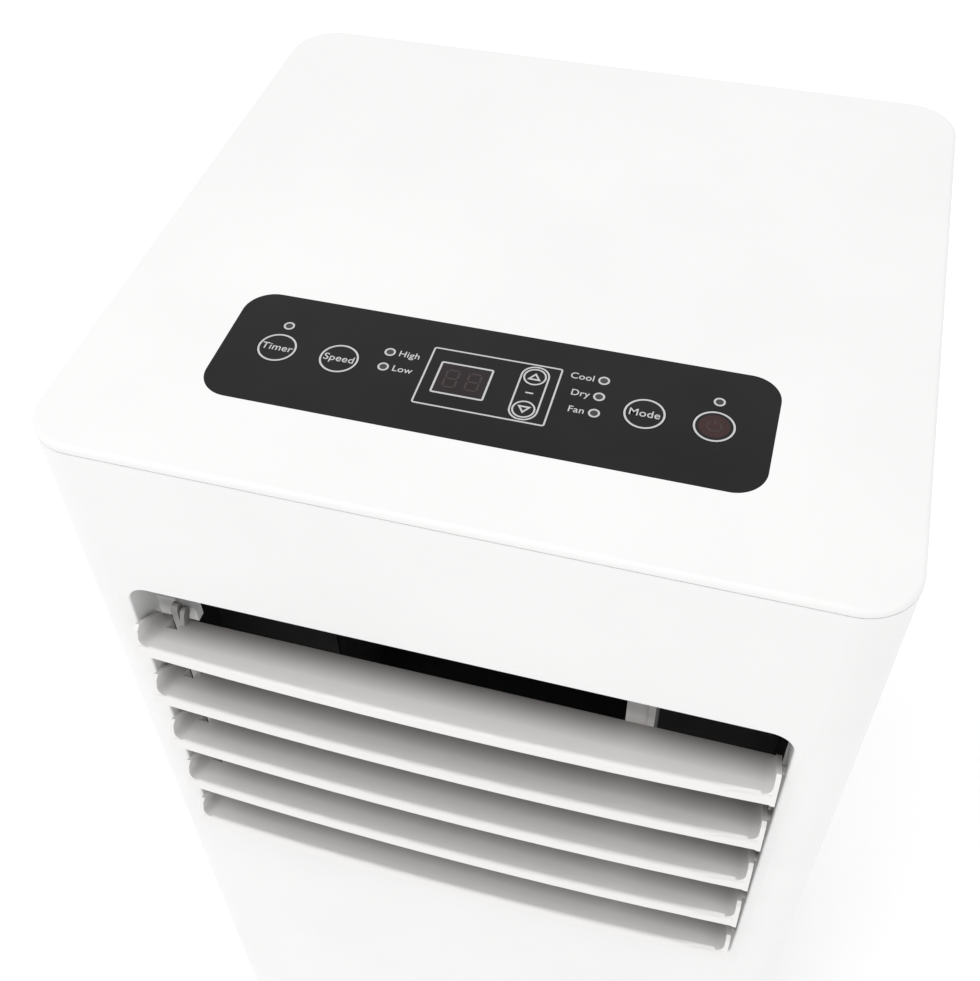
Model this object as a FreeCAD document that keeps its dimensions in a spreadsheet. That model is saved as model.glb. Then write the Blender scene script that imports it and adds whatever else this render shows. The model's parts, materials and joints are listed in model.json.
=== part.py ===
import FreeCAD, Part
import math
import os
import re
import Sketcher

# Portable air conditioner.  Millimetres.  Origin: on the floor, midway between the sides and between
# the front louvre lips and the exhaust collar.  +Z up, the outlet faces -Y, +X is to the right of
# someone looking at the outlet.

SIZES = {
    # casing
    "case_width": 330,
    "case_depth": 310,
    "case_height": 690,
    "case_corner": 22,
    "wall": 2.5,
    "wheel_height": 44,
    "base_height": 32,
    "base_floor": 3,
    "base_round": 2,
    "split_gap": 9,
    "seam_gap": 0.6,
    "seam_inset": 0.8,
    "lid_skirt": 3.2,
    "lid_plate": 3,
    "lid_lip": 9,
    "lid_round": 2,
    "lip_wall": 2,
    # control panel
    "fascia_width": 217.7,
    "fascia_depth": 61.5,
    "fascia_corner": 12.5,
    "fascia_setback": 40.6,
    "fascia_thick": 1.2,
    "key_radius": 8,
    "arrow_key_radius": 4.7,
    "key_gap": 0.2,
    "key_travel": 0.8,
    "key_flange": 1.4,
    "key_flange_thick": 1.2,
    "key_stem_radius": 2.6,
    "outer_key_x": 86.5,
    "inner_key_x": 60.5,
    "arrow_key_x": 16.3,
    "arrow_key_y": 9,
    "lamp_radius": 1.5,
    "lamp_over_key": 13.2,
    "speed_lamp_x": 42.2,
    "speed_lamp_pitch": 8.6,
    "mode_lamp_x": 42.3,
    "mode_lamp_y": 4.6,
    "mode_lamp_pitch": 9,
    "window_left": 20.5,
    "window_width": 20.5,
    "window_depth": 16.8,
    "window_corner": 1,
    "window_ledge": 1.5,
    "board_drop": 12,
    "board_thick": 1.6,
    "board_margin": 6,
    "switch_size": 6,
    "switch_height": 4,
    "switch_nub": 0.8,
    "switch_nub_radius": 1.7,
    "lamp_body": 1.5,
    "lamp_spread": 0.4,
    "digit_gap": 0.5,
    "key_clear": 0.05,
    "post_radius": 3,
    # outlet and louvres
    "outlet_drop": 83.1,
    "outlet_side": 26.4,
    "outlet_height": 207,
    "outlet_corner": 10,
    "outlet_depth": 22,
    "outlet_round": 1,
    "clip_setback": 17.1,
    "clip_depth": 4.5,
    "clip_width": 9,
    "clip_drop": 27.5,
    "clip_step": 4,
    "clip_height": 13,
    "louvre_count": 5,
    "louvre_pitch": 38.2,
    "louvre_drop": 32.4,
    "louvre_setback": 6,
    "louvre_tilt": 18,
    "louvre_end_gap": 2.3,
    "louvre_rear": 7.5,
    "louvre_front": 16.3,
    "louvre_bow": 4.2,
    "louvre_thick": 2,
    "louvre_top": -0.2,
    "lip_drop": 5.6,
    "lip_round": 1.8,
    "lip_foot_round": 0.8,
    "flange_rise": 9.5,
    "flange_thick": 2,
    "stub_radius": 2,
    "stub_gap": 0.06,
    "link_inset": 9.5,
    "link_half": 1.5,
    "link_width": 5,
    "link_pin_radius": 1.5,
    "link_pin_back": 5.5,
    "link_pin_rise": 5,
    "link_play": 0.3,
    "strut_x": 77,
    "strut_width": 9,
    "strut_fin": 3,
    "strut_setback": 16.5,
    "strut_depth": 28,
    # air path, cold side
    "duct_depth": 38,
    "duct_wall": 2.4,
    "cold_mouth_rise": 16,
    "cold_fan_y": -6,
    "cold_fan_rise": 105,
    "cold_fan_radius": 66,
    "cold_fan_half": 68,
    "cold_inlet_radius": 52,
    "fan_tip_gap": 8,
    "blade_count": 30,
    "blade_chord": 12,
    "blade_thick": 1.2,
    "blade_lean": 25,
    "fan_rim": 3,
    "fan_hub_wall": 5,
    "fan_hub_half": 12,
    "shaft_radius": 4,
    "shaft_gap": 0.08,
    "motor_radius": 34,
    "motor_length": 40,
    "motor_gap": 22,
    "motor_leg_radius": 3.5,
    "motor_plate": 2.5,
    "motor_plate_rim": 28,
    "motor_leg_reach": 55.5,
    "shaft_end": 8,
    "evaporator_side": 47,
    "evaporator_setback": 57,
    "evaporator_depth": 26,
    "evaporator_height": 215,
    "tray_drop": 272,
    "tray_height": 16,
    "tray_side": 25,
    "tray_setback": 69,
    # air path, hot side
    "condenser_side": 35,
    "condenser_setback": 35,
    "condenser_depth": 26,
    "condenser_height": 195,
    "coil_plate": 1.5,
    "fin_pitch": 6,
    "fin_thick": 1.2,
    "tube_radius": 4,
    "tube_pitch": 25,
    "hot_fan_x": 70,
    "hot_fan_y": 16,
    "hot_fan_z": 235,
    "hot_fan_radius": 74,
    "hot_fan_half": 30,
    "hot_inlet_radius": 55,
    "scroll_wall": 2,
    "scroll_leg_half": 30,
    "scroll_leg_thick": 3,
    "hot_mouth_height": 53,
    "hot_mouth_setback": 47,
    "collar_x": 40,
    "collar_z": 345,
    "collar_radius": 62,
    "collar_wall": 3,
    "collar_flange": 8,
    "collar_play": 0.3,
    # rear openings
    "intake_side": 40,
    "intake_drop": 220,
    "intake_height": 180,
    "intake_corner": 6,
    "intake_play": 0.4,
    "grille_slot": 6,
    "grille_pitch": 11,
    "grille_slots": 15,
    "grille_margin": 13,
    "grille_rib": 8,
    "mesh_thick": 1,
    "mesh_gap": 8,
    "vent_slots": 13,
    "vent_low": 96,
    "vent_margin": 43,
    "vent_pitch": 12,
    # side grips
    "grip_rear_gap": 28,
    "grip_drop": 105,
    "grip_length": 106,
    "grip_height": 34,
    "grip_corner": 10,
    "grip_depth": 24,
    "grip_wall": 2,
    "grip_flange": 4,
    # refrigerant circuit
    "compressor_x": -80,
    "compressor_y": -70,
    "compressor_radius": 48,
    "compressor_height": 182,
    "compressor_round": 18,
    "foot_circle": 55,
    "foot_radius": 9,
    "foot_plate": 2.5,
    "grommet_height": 8,
    "grommet_radius": 8,
    "bolt_radius": 3,
    "bolt_play": 0.1,
    "bolt_head": 5.5,
    "bolt_head_height": 4,
    "accumulator_offset": 72,
    "accumulator_radius": 20,
    "accumulator_height": 110,
    "accumulator_z": 95,
    "pipe_radius": 4,
    "capillary_radius": 1.5,
    # electrics
    "ebox_left": 38,
    "ebox_side": 25,
    "ebox_depth": 84,
    "ebox_low": 326,
    "ebox_height": 58,
    "ebox_wall": 2,
    "capacitor_radius": 16,
    "capacitor_length": 60,
    # rear fittings
    "gland_side": 45,
    "gland_z": 372,
    "gland_radius": 8,
    "gland_bore": 3.6,
    "gland_proud": 9,
    "drain_x": -60,
    "drain_z": 59,
    "drain_radius": 7,
    "drain_bore": 4.5,
    "drain_proud": 6,
    "plug_head": 9,
    "plug_grip": 3,
    "screw_side": 33,
    "tab_half": 9,
    "screw_radius": 1.6,
    "screw_head": 3.6,
    "screw_head_height": 1.8,
    "screw_rise": 11,
    # casters
    "caster_side": 40,
    "caster_setback": 43,
    "caster_wheel_radius": 18,
    "caster_wheel_width": 13,
    "caster_trail": 11,
    "caster_web": 5,
    "caster_side_gap": 0.6,
    "caster_stem_radius": 4,
    "caster_stem_gap": 0.06,
    "caster_stem_length": 17,
    "caster_axle_radius": 2.5,
    "caster_axle_gap": 0.08,
    "caster_hood_gap": 1.2,
    "caster_hood_wall": 2,
    "caster_plate_gap": 0.4,
    "boss_wall": 5,
}

# Places worked out from the sizes, by name.
PLACES = {
    "side": "case_width / 2",
    "front": "-case_depth / 2",
    "rear": "case_depth / 2",
    "top": "case_height",
    "shell_low": "wheel_height + base_height",
    "shell_high": "top - lid_skirt - seam_gap",
    "split": "grip_y - grip_length / 2 - split_gap",
    "deck": "wheel_height + base_floor",
    "plate_under": "top - lid_plate",
    "panel_y": "front + fascia_setback + fascia_depth / 2",
    "board_top": "top - board_drop",
    "key_low": "board_top + switch_height + key_travel + key_clear",
    "outlet_high": "top - outlet_drop",
    "outlet_low": "outlet_high - outlet_height",
    "duct_y": "front + outlet_depth",
    "duct_rear": "duct_y + duct_depth",
    "pivot_y": "front + louvre_setback",
    "pivot_z": "outlet_high - louvre_drop",
    "cos_tilt": "cos(louvre_tilt * 1deg)",
    "sin_tilt": "sin(louvre_tilt * 1deg)",
    "lip_reach": "(louvre_front + louvre_bow) * cos_tilt + lip_drop * sin_tilt - louvre_setback",
    "cold_fan_z": "outlet_low + cold_fan_rise",
    "cold_scroll": "cold_fan_radius + fan_tip_gap",
    "cold_side": "cold_fan_half + fan_tip_gap",
    "hot_scroll": "hot_fan_radius + fan_tip_gap",
    "hot_side": "hot_fan_half + fan_tip_gap",
    "hot_mouth_high": "hot_fan_z + hot_scroll",
    "hot_mouth_low": "hot_mouth_high - hot_mouth_height",
    "coil_low": "deck + 13",
    "foot_z": "deck + grommet_height",
    "shell_foot": "foot_z + foot_plate",
    "caster_top": "wheel_height - caster_plate_gap",
    "wheel_outer": "caster_web / 2 + caster_side_gap + caster_wheel_width",
    "outlet_half_width": "side - outlet_side",
    "louvre_half": "outlet_half_width - louvre_end_gap",
    "link_x": "louvre_half - link_inset",
    "cold_mouth_low": "cold_fan_z - cold_scroll",
    "cold_mouth_high": "cold_fan_z + cold_mouth_rise",
    "evaporator_half": "side - evaporator_side",
    "evaporator_y": "rear - evaporator_setback",
    "tray_z": "top - tray_drop",
    "tray_half": "side - tray_side",
    "tray_front": "rear - tray_setback",
    "condenser_half": "side - condenser_side",
    "condenser_y": "rear - condenser_setback",
    "hot_mouth_y": "rear - hot_mouth_setback",
    "intake_half": "side - intake_side",
    "intake_low": "top - intake_drop",
    "grille_slot_length": "intake_half - grille_rib / 2 - grille_margin",
    "vent_slot_length": "side - grille_rib / 2 - vent_margin",
    "grip_y": "rear - grip_rear_gap - grip_length / 2",
    "grip_z": "top - grip_drop",
    "ebox_right": "side - ebox_side",
    "screw_x": "side - screw_side",
    "caster_x": "side - caster_side",
    "caster_y": "rear - caster_setback",
    "gland_x": "gland_side - side",
    "accumulator_x": "compressor_x + accumulator_offset",
}

doc = FreeCAD.newDocument("portable_air_conditioner")
sheet = doc.addObject("Spreadsheet::Sheet", "Sizes")
for row, (size_name, size_value) in enumerate(SIZES.items(), 1):
    sheet.set("A%d" % row, str(size_value))
    sheet.setAlias("A%d" % row, size_name)
doc.recompute()

NODES = []
X = FreeCAD.Vector(1, 0, 0)
Y = FreeCAD.Vector(0, 1, 0)
Z = FreeCAD.Vector(0, 0, 1)
AXES = {"x": X, "y": Y, "z": Z}
PLANES = {"x": "YZ_Plane", "y": "XZ_Plane", "z": "XY_Plane"}


def bound(text):
    """An expression on the sheet, from one written with size and place names."""

    def swap(match):
        name = match.group()
        if name in SIZES:
            return "Sizes." + name
        if name in PLACES:
            return "(" + bound(PLACES[name]) + ")"
        return name

    return re.sub(r"[a-z][a-z0-9_]*", swap, str(text))


def value(text):
    return float(sheet.evalExpression(bound(text)))


def bind(thing, **expressions):
    for name, text in expressions.items():
        thing.setExpression(name.replace("__", "."), bound(text))
    return thing


def named(thing, label):
    thing.Label = label
    NODES.append(thing)
    return thing


class Piece:
    """A PartDesign body that grows by prisms along x, y or z, each end given as an expression."""

    def __init__(self, label, listed=True):
        self.body = doc.addObject("PartDesign::Body", label)
        self.steps = 0
        if listed:
            NODES.append(self.body)

    def _sketch(self, axis, level):
        self.steps += 1
        sketch = self.body.newObject("Sketcher::SketchObject", "%s_sketch_%d" % (self.body.Name, self.steps))
        planes = self.body.Origin.OriginFeatures
        sketch.AttachmentSupport = (next(p for p in planes if p.Role == PLANES[axis]), "")
        sketch.MapMode = "FlatFace"
        sketch.setExpression("AttachmentOffset.Base.z", bound(level))
        return sketch

    def _extrude(self, sketch, kind, length):
        feature = self.body.newObject("PartDesign::" + kind, "%s_%s_%d" % (self.body.Name, kind, self.steps))
        feature.Profile = sketch
        feature.Reversed = kind == "Pocket"
        bind(feature, Length=length)
        doc.recompute([self.body])
        return feature

    def _prism(self, axis, ends, cut, draw):
        low, high = ends
        # the XZ plane's normal is -Y, so a prism along y starts at its far end
        level = "-(%s)" % high if axis == "y" else low
        sketch = self._sketch(axis, level)
        draw(sketch)
        length = "(%s) - (%s)" % (high, low)
        return self._extrude(sketch, "Pocket" if cut else "Pad", length)

    def block(self, x, y, z, corner=None, axis="z", cut=False):
        """A box, its edges along the axis rounded to the corner radius if one is given."""
        ends = {"x": x, "y": y, "z": z}
        across = {"x": (y, z), "y": (x, z), "z": (x, y)}[axis]
        return self._prism(axis, ends[axis], cut, lambda sketch: draw_rectangle(sketch, *across, corner))

    def disc(self, centre, radius, ends, axis="z", cut=False):
        """A cylinder along the axis; centre is its two coordinates across the axis."""
        return self._prism(axis, ends, cut, lambda sketch: draw_circle(sketch, *centre, radius))

    def repeat(self, features, axis, pitch, count, back=False):
        pattern = self.body.newObject("PartDesign::LinearPattern", "%s_row_%d" % (self.body.Name, self.steps))
        pattern.Originals = features
        roles = {"x": "X_Axis", "y": "Y_Axis", "z": "Z_Axis"}
        line = next(p for p in self.body.Origin.OriginFeatures if p.Role == roles[axis])
        pattern.Direction = (line, [""])
        pattern.Reversed = back
        bind(pattern, Length="(%s) * ((%s) - 1)" % (pitch, count), Occurrences=count)
        self.body.Tip = pattern
        doc.recompute([self.body])
        return pattern

    def round_edges(self, radius, chosen, kind="Fillet"):
        """Fillet or chamfer the tip's edges that the chosen test accepts."""
        tip = self.body.Tip
        edges = ["Edge%d" % i for i, edge in enumerate(tip.Shape.Edges, 1) if chosen(edge)]
        feature = self.body.newObject("PartDesign::" + kind, "%s_%s_%d" % (self.body.Name, kind, self.steps))
        feature.Base = (tip, edges)
        bind(feature, **{"Radius" if kind == "Fillet" else "Size": radius})
        doc.recompute([self.body])
        return feature


def pin_point(sketch, element, end, x, y):
    """Hold one end of a sketch element at the place that two expressions give."""
    for kind, text in (("DistanceX", x), ("DistanceY", y)):
        held = sketch.addConstraint(Sketcher.Constraint(kind, -1, 1, element, end, value(text)))
        sketch.setExpression("Constraints[%d]" % held, bound(text))


def draw_circle(sketch, x, y, radius):
    centre = FreeCAD.Vector(value(x), value(y), 0)
    circle = sketch.addGeometry(Part.Circle(centre, Z, value(radius)))
    pin_point(sketch, circle, 3, x, y)
    held = sketch.addConstraint(Sketcher.Constraint("Radius", circle, value(radius)))
    sketch.setExpression("Constraints[%d]" % held, bound(radius))


def draw_rectangle(sketch, x, y, corner=None):
    left, right, low, high = value(x[0]), value(x[1]), value(y[0]), value(y[1])
    inset = value(corner) if corner else 0
    spots = (
        ((left + inset, low), (right - inset, low)),
        ((right, low + inset), (right, high - inset)),
        ((right - inset, high), (left + inset, high)),
        ((left, high - inset), (left, low + inset)),
    )
    for start, end in spots:
        sketch.addGeometry(Part.LineSegment(FreeCAD.Vector(*start, 0), FreeCAD.Vector(*end, 0)))
    for line in (0, 2):
        sketch.addConstraint(Sketcher.Constraint("Horizontal", line))
        sketch.addConstraint(Sketcher.Constraint("Vertical", line + 1))
    if corner:
        centres = ((right, low, -1, 1), (right, high, -1, -1), (left, high, 1, -1), (left, low, 1, 1))
        for i, (cx, cy, inward_x, inward_y) in enumerate(centres):
            centre = FreeCAD.Vector(cx + inward_x * inset, cy + inward_y * inset, 0)
            start = (i - 1) * math.pi / 2
            circle = Part.Circle(centre, Z, inset)
            sketch.addGeometry(Part.ArcOfCircle(circle, start, start + math.pi / 2))
        for i in range(4):
            sketch.addConstraint(Sketcher.Constraint("Tangent", i, 2, 4 + i, 1))
            sketch.addConstraint(Sketcher.Constraint("Tangent", 4 + i, 2, (i + 1) % 4, 1))
        for i in (4, 5):
            sketch.addConstraint(Sketcher.Constraint("Equal", i, i + 1))
        held = sketch.addConstraint(Sketcher.Constraint("Radius", 4, inset))
        sketch.setExpression("Constraints[%d]" % held, bound(corner))
    else:
        for i in range(4):
            sketch.addConstraint(Sketcher.Constraint("Coincident", i, 2, (i + 1) % 4, 1))
    for kind, line, text in (("X", 3, x[0]), ("X", 1, x[1]), ("Y", 0, y[0]), ("Y", 2, y[1])):
        held = sketch.addConstraint(Sketcher.Constraint("Distance" + kind, -1, 1, line, 1, value(text)))
        sketch.setExpression("Constraints[%d]" % held, bound(text))


def lies_at(edge, axis, level):
    """True for an edge that lies in the plane across the axis at the level."""
    index = "xyz".index(axis)
    return all(abs(vertex.Point[index] - level) < 0.001 for vertex in edge.Vertexes)


def tube(axis, centre, radius, ends):
    """A plain cylinder shape along an axis, from values in millimetres."""
    low, high = ends
    place = {
        "x": FreeCAD.Vector(low, centre[0], centre[1]),
        "y": FreeCAD.Vector(centre[0], low, centre[1]),
        "z": FreeCAD.Vector(centre[0], centre[1], low),
    }[axis]
    return Part.makeCylinder(radius, high - low, place, AXES[axis])


def brick(x, y, z):
    return Part.makeBox(x[1] - x[0], y[1] - y[0], z[1] - z[0], FreeCAD.Vector(x[0], y[0], z[0]))


def made(label, shape):
    """A node whose shape is worked out here from the sheet's values."""
    feature = doc.addObject("Part::Feature", label)
    feature.Shape = shape
    return named(feature, label)


# Casing ------------------------------------------------------------------------------------------

FULL_X = ("-(side)", "side")
FULL_Y = ("front", "rear")
INNER_X = ("-(side - wall)", "side - wall")
INNER_Y = ("front + wall", "rear - wall")
INSET_X = ("-(side - seam_inset)", "side - seam_inset")
INSET_Y = ("front + seam_inset", "rear - seam_inset")
CASTERS = (("front_left", -1, -1), ("front_right", 1, -1), ("rear_left", -1, 1), ("rear_right", 1, 1))


def base_pan():
    """The tray that everything stands on, with a socket for each caster stem."""
    pan = Piece("base_pan")
    rim_low = "shell_low - seam_gap"
    pan.block(FULL_X, FULL_Y, ("wheel_height", rim_low), "case_corner")
    pan.block(INSET_X, INSET_Y, (rim_low, "shell_low"), "case_corner - seam_inset")
    pan.block(INNER_X, INNER_Y, ("deck", "shell_low"), "case_corner - wall", cut=True)
    for _, right, back in CASTERS:
        centre = ("%d * caster_x" % right, "%d * caster_y" % back)
        high = "wheel_height + caster_stem_length + 1 + base_floor"
        pan.disc(centre, "caster_stem_radius + boss_wall", ("deck", high))
        socket = ("wheel_height", "wheel_height + caster_stem_length + 1")
        pan.disc(centre, "caster_stem_radius + caster_stem_gap", socket, cut=True)
    tab_y = ("rear - wall - lip_wall", "rear - wall")
    for right in (-1, 1):
        middle = "%d * screw_x" % right
        tab_x = (middle + " - tab_half", middle + " + tab_half")
        pan.block(tab_x, tab_y, ("deck", "shell_low + 2 * screw_rise"))
        hole = ("%d * screw_x" % right, "shell_low + screw_rise")
        pan.disc(hole, "screw_radius", ("rear - wall - lip_wall", "rear - wall"), "y", cut=True)
    drain_ends = ("rear - wall - 1", "rear + 1")
    pan.disc(("drain_x", "drain_z"), "drain_radius", drain_ends, "y", cut=True)
    under = value("wheel_height")
    pan.round_edges("base_round", lambda edge: lies_at(edge, "z", under) and not round_hole(edge))


def round_hole(edge):
    return edge.Curve.TypeId == "Part::GeomCircle" and edge.Curve.Radius < value("case_corner") - 5


def shell(label, dropped_y):
    """A thin wall round the casing's plan, from the base pan to the lid, less the dropped range of y."""
    half = Piece(label)
    half.block(FULL_X, FULL_Y, ("shell_low", "shell_high"), "case_corner")
    half.block(INNER_X, INNER_Y, ("shell_low", "shell_high"), "case_corner - wall", cut=True)
    half.block(("-case_width", "case_width"), dropped_y, ("shell_low", "shell_high"), cut=True)
    return half


def front_cover():
    cover = shell("front_cover", ("split", "case_depth"))
    outer_x = ("-(outlet_half_width + wall)", "outlet_half_width + wall")
    outer_z = ("outlet_low - wall", "outlet_high + wall")
    cover.block(outer_x, ("front + wall / 2", "duct_y"), outer_z, "outlet_corner + wall", "y")
    inner_x = ("-outlet_half_width", "outlet_half_width")
    inner_z = ("outlet_low", "outlet_high")
    cover.block(inner_x, ("front - 1", "duct_y + 1"), inner_z, "outlet_corner", "y", cut=True)
    for right in (-1, 1):
        ends = ("outlet_half_width - 1", "outlet_half_width + wall + 1")
        if right < 0:
            ends = ("-(%s)" % ends[1], "-(%s)" % ends[0])
        hole = cover.disc(("pivot_y", "pivot_z"), "stub_radius + stub_gap", ends, "x", cut=True)
        cover.repeat([hole], "z", "louvre_pitch", "louvre_count", back=True)
    front = value("front")
    cover.round_edges("outlet_round", lambda edge: lies_at(edge, "y", front) and within_outlet(edge))
    outlet_clip(cover)


def outlet_clip(cover):
    """The stepped clip in the outlet's upper left corner, behind the blades."""
    clip_y = ("front + clip_setback", "front + clip_setback + clip_depth")
    clip_z = ("outlet_high - clip_drop - clip_height", "outlet_high - clip_drop")
    step = "-outlet_half_width + clip_width"
    cover.block(("-outlet_half_width - wall / 2", step), clip_y, clip_z)
    cover.block((step, step + " + clip_width"), clip_y, (clip_z[0], clip_z[1] + " - clip_step"))


def within_outlet(edge):
    middle = edge.CenterOfMass
    tall = value("outlet_low") - 1 < middle.z < value("outlet_high") + 1
    return tall and abs(middle.x) < value("outlet_half_width") + 1


def rear_cover():
    """The back shell: intake opening, condenser vents, grips, and holes for the rear fittings."""
    cover = shell("rear_cover", ("-case_depth", "split"))
    cover.block(FULL_X, ("split", "split + seam_gap"), ("shell_low", "shell_high"), cut=True)
    rim = ("side - wall", "side - seam_inset")
    rim_ends = ("split", "split + seam_gap + 1")
    cover.block(rim, rim_ends, ("shell_low", "shell_high"))
    cover.block(("-(%s)" % rim[1], "-(%s)" % rim[0]), rim_ends, ("shell_low", "shell_high"))
    through = ("rear - wall - 1", "rear + 1")
    intake_x = ("-intake_half", "intake_half")
    intake_z = ("intake_low", "intake_low + intake_height")
    cover.block(intake_x, through, intake_z, "intake_corner", "y", cut=True)
    for left in ("-(vent_slot_length + grille_rib / 2)", "grille_rib / 2"):
        slot_x = (left, "(%s) + vent_slot_length" % left)
        slot_z = ("vent_low", "vent_low + grille_slot")
        slot = cover.block(slot_x, through, slot_z, "grille_slot / 2 - 0.01", "y", cut=True)
        cover.repeat([slot], "z", "vent_pitch", "vent_slots")
    cover.disc(("collar_x", "collar_z"), "collar_radius + collar_wall + collar_play", through, "y", cut=True)
    cover.disc(("gland_x", "gland_z"), "gland_radius", through, "y", cut=True)
    for right in (-1, 1):
        for height in ("shell_low + screw_rise", "shell_high - screw_rise"):
            cover.disc(("%d * screw_x" % right, height), "screw_radius", through, "y", cut=True)
    grip_y = ("grip_y - grip_length / 2", "grip_y + grip_length / 2")
    grip_z = ("grip_z - grip_height / 2", "grip_z + grip_height / 2")
    cover.block(("-case_width", "case_width"), grip_y, grip_z, "grip_corner", "x", cut=True)


def grip_cup(label, right):
    """A cup let into the side for lifting, open to the outside."""
    cup = Piece(label)

    def sideways(inner, outer):
        return (inner, outer) if right > 0 else ("-(%s)" % outer, "-(%s)" % inner)

    def opening(spread):
        y = ("grip_y - grip_length / 2 - (%s)" % spread, "grip_y + grip_length / 2 + (%s)" % spread)
        z = ("grip_z - grip_height / 2 - (%s)" % spread, "grip_z + grip_height / 2 + (%s)" % spread)
        return y, z

    flange_y, flange_z = opening("grip_flange")
    wall_y, wall_z = opening("0")
    bore_y, bore_z = opening("-grip_wall")
    flange_x = sideways("side - wall - grip_wall", "side - wall")
    cup.block(flange_x, flange_y, flange_z, "grip_corner + grip_flange", "x")
    cup.block(sideways("side - grip_depth", "side - wall / 4"), wall_y, wall_z, "grip_corner", "x")
    bore_x = sideways("side - grip_depth + grip_wall", "side + 1")
    cup.block(bore_x, bore_y, bore_z, "grip_corner - grip_wall", "x", cut=True)


def key_places():
    """Label, x, y and radius of each key, from the panel's centre."""
    return (
        ("timer_key", "-outer_key_x", "0", "key_radius"),
        ("speed_key", "-inner_key_x", "0", "key_radius"),
        ("up_key", "arrow_key_x", "arrow_key_y", "arrow_key_radius"),
        ("down_key", "arrow_key_x", "-arrow_key_y", "arrow_key_radius"),
        ("mode_key", "inner_key_x", "0", "key_radius"),
        ("power_key", "outer_key_x", "0", "key_radius"),
    )


def lamp_places():
    places = [("-outer_key_x", "lamp_over_key"), ("outer_key_x", "lamp_over_key")]
    places += [("-speed_lamp_x", "%d * speed_lamp_pitch" % step) for step in (0, 1)]
    places += [("mode_lamp_x", "mode_lamp_y + %d * mode_lamp_pitch" % step) for step in (-1, 0, 1)]
    return places


WINDOW_X = ("-window_left", "window_width - window_left")
WINDOW_Y = ("panel_y - window_depth / 2", "panel_y + window_depth / 2")


def top_cover():
    """The lid: a plate with a skirt, a recess for the panel and posts for the board."""
    lid = Piece("top_cover")
    lid.block(FULL_X, FULL_Y, ("top - lid_skirt", "top"), "case_corner")
    lid.block(INSET_X, INSET_Y, ("shell_high", "top - lid_skirt"), "case_corner - seam_inset")
    lid.block(INNER_X, INNER_Y, ("shell_high - lid_lip", "shell_high"), "case_corner - wall")
    hollow_x = ("-(side - wall - lip_wall)", "side - wall - lip_wall")
    hollow_y = ("front + wall + lip_wall", "rear - wall - lip_wall")
    hollow_z = ("shell_high - lid_lip - 1", "plate_under")
    lid.block(hollow_x, hollow_y, hollow_z, "case_corner - wall - lip_wall", cut=True)
    tab_y = ("rear - wall - lip_wall", "rear - wall")
    for right in (-1, 1):
        middle = "%d * screw_x" % right
        tab_x = (middle + " - tab_half", middle + " + tab_half")
        lid.block(tab_x, tab_y, ("shell_high - 2 * screw_rise", "plate_under"))
        hole = ("%d * screw_x" % right, "shell_high - screw_rise")
        lid.disc(hole, "screw_radius", ("rear - wall - lip_wall - 1", "rear - wall + 1"), "y", cut=True)
    lid.round_edges("lid_round", lambda edge: lies_at(edge, "z", value("top")))
    for right in (-1, 1):
        for back in (-1, 1):
            x = "%d * (fascia_width / 2 - board_margin - 5)" % right
            y = "panel_y + %d * (fascia_depth / 2 - board_margin - 5)" % back
            lid.disc((x, y), "post_radius", ("board_top", "plate_under"))
    recess_x = ("-(fascia_width / 2)", "fascia_width / 2")
    recess_y = ("panel_y - fascia_depth / 2", "panel_y + fascia_depth / 2")
    lid.block(recess_x, recess_y, ("top - fascia_thick", "top + 1"), "fascia_corner", cut=True)
    below = ("plate_under - 1", "top")
    for _, x, y, radius in key_places():
        lid.disc((x, "panel_y + " + y), radius + " + key_gap", below, cut=True)
    for x, y in lamp_places():
        lid.disc((x, "panel_y + " + y), "lamp_radius", below, cut=True)
    window_x = ("-window_left + window_ledge", "window_width - window_left - window_ledge")
    window_y = ("%s + window_ledge" % WINDOW_Y[0], "%s - window_ledge" % WINDOW_Y[1])
    lid.block(window_x, window_y, below, cut=True)


def control_fascia():
    """The glossy panel sheet, pierced for the keys, lamps and display window."""
    sheet_piece = Piece("control_fascia")
    face_x = ("-(fascia_width / 2)", "fascia_width / 2")
    face_y = ("panel_y - fascia_depth / 2", "panel_y + fascia_depth / 2")
    sheet_piece.block(face_x, face_y, ("top - fascia_thick", "top"), "fascia_corner")
    below = ("top - fascia_thick - 1", "top + 1")
    for _, x, y, radius in key_places():
        sheet_piece.disc((x, "panel_y + " + y), radius + " + key_gap", below, cut=True)
    for x, y in lamp_places():
        sheet_piece.disc((x, "panel_y + " + y), "lamp_radius", below, cut=True)
    sheet_piece.block(WINDOW_X, WINDOW_Y, below, "window_corner", cut=True)


def display_window():
    Piece("display_window").block(WINDOW_X, WINDOW_Y, ("top - fascia_thick", "top"), "window_corner")


def keys():
    """Flush keys with a flange under the lid and a stem that stops short of the switch."""
    for label, x, y, radius in key_places():
        key = Piece(label)
        centre = (x, "panel_y + " + y)
        flange_top = "plate_under - key_clear"
        flange_low = "%s - key_flange_thick" % flange_top
        key.disc(centre, radius, (flange_low, "top"))
        key.disc(centre, "%s + key_flange" % radius, (flange_low, flange_top))
        key.disc(centre, "key_stem_radius", ("key_low", flange_low))


def indicator_lenses():
    """Seven light pipes from the board's lamps to the panel's face."""
    pipes = []
    for x, y in lamp_places():
        centre = (value(x), value("panel_y + " + y))
        ends = (value("board_top + lamp_body"), value("top"))
        pipes.append(tube("z", centre, value("lamp_radius"), ends))
    made("indicator_lenses", Part.makeCompound(pipes))


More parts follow.
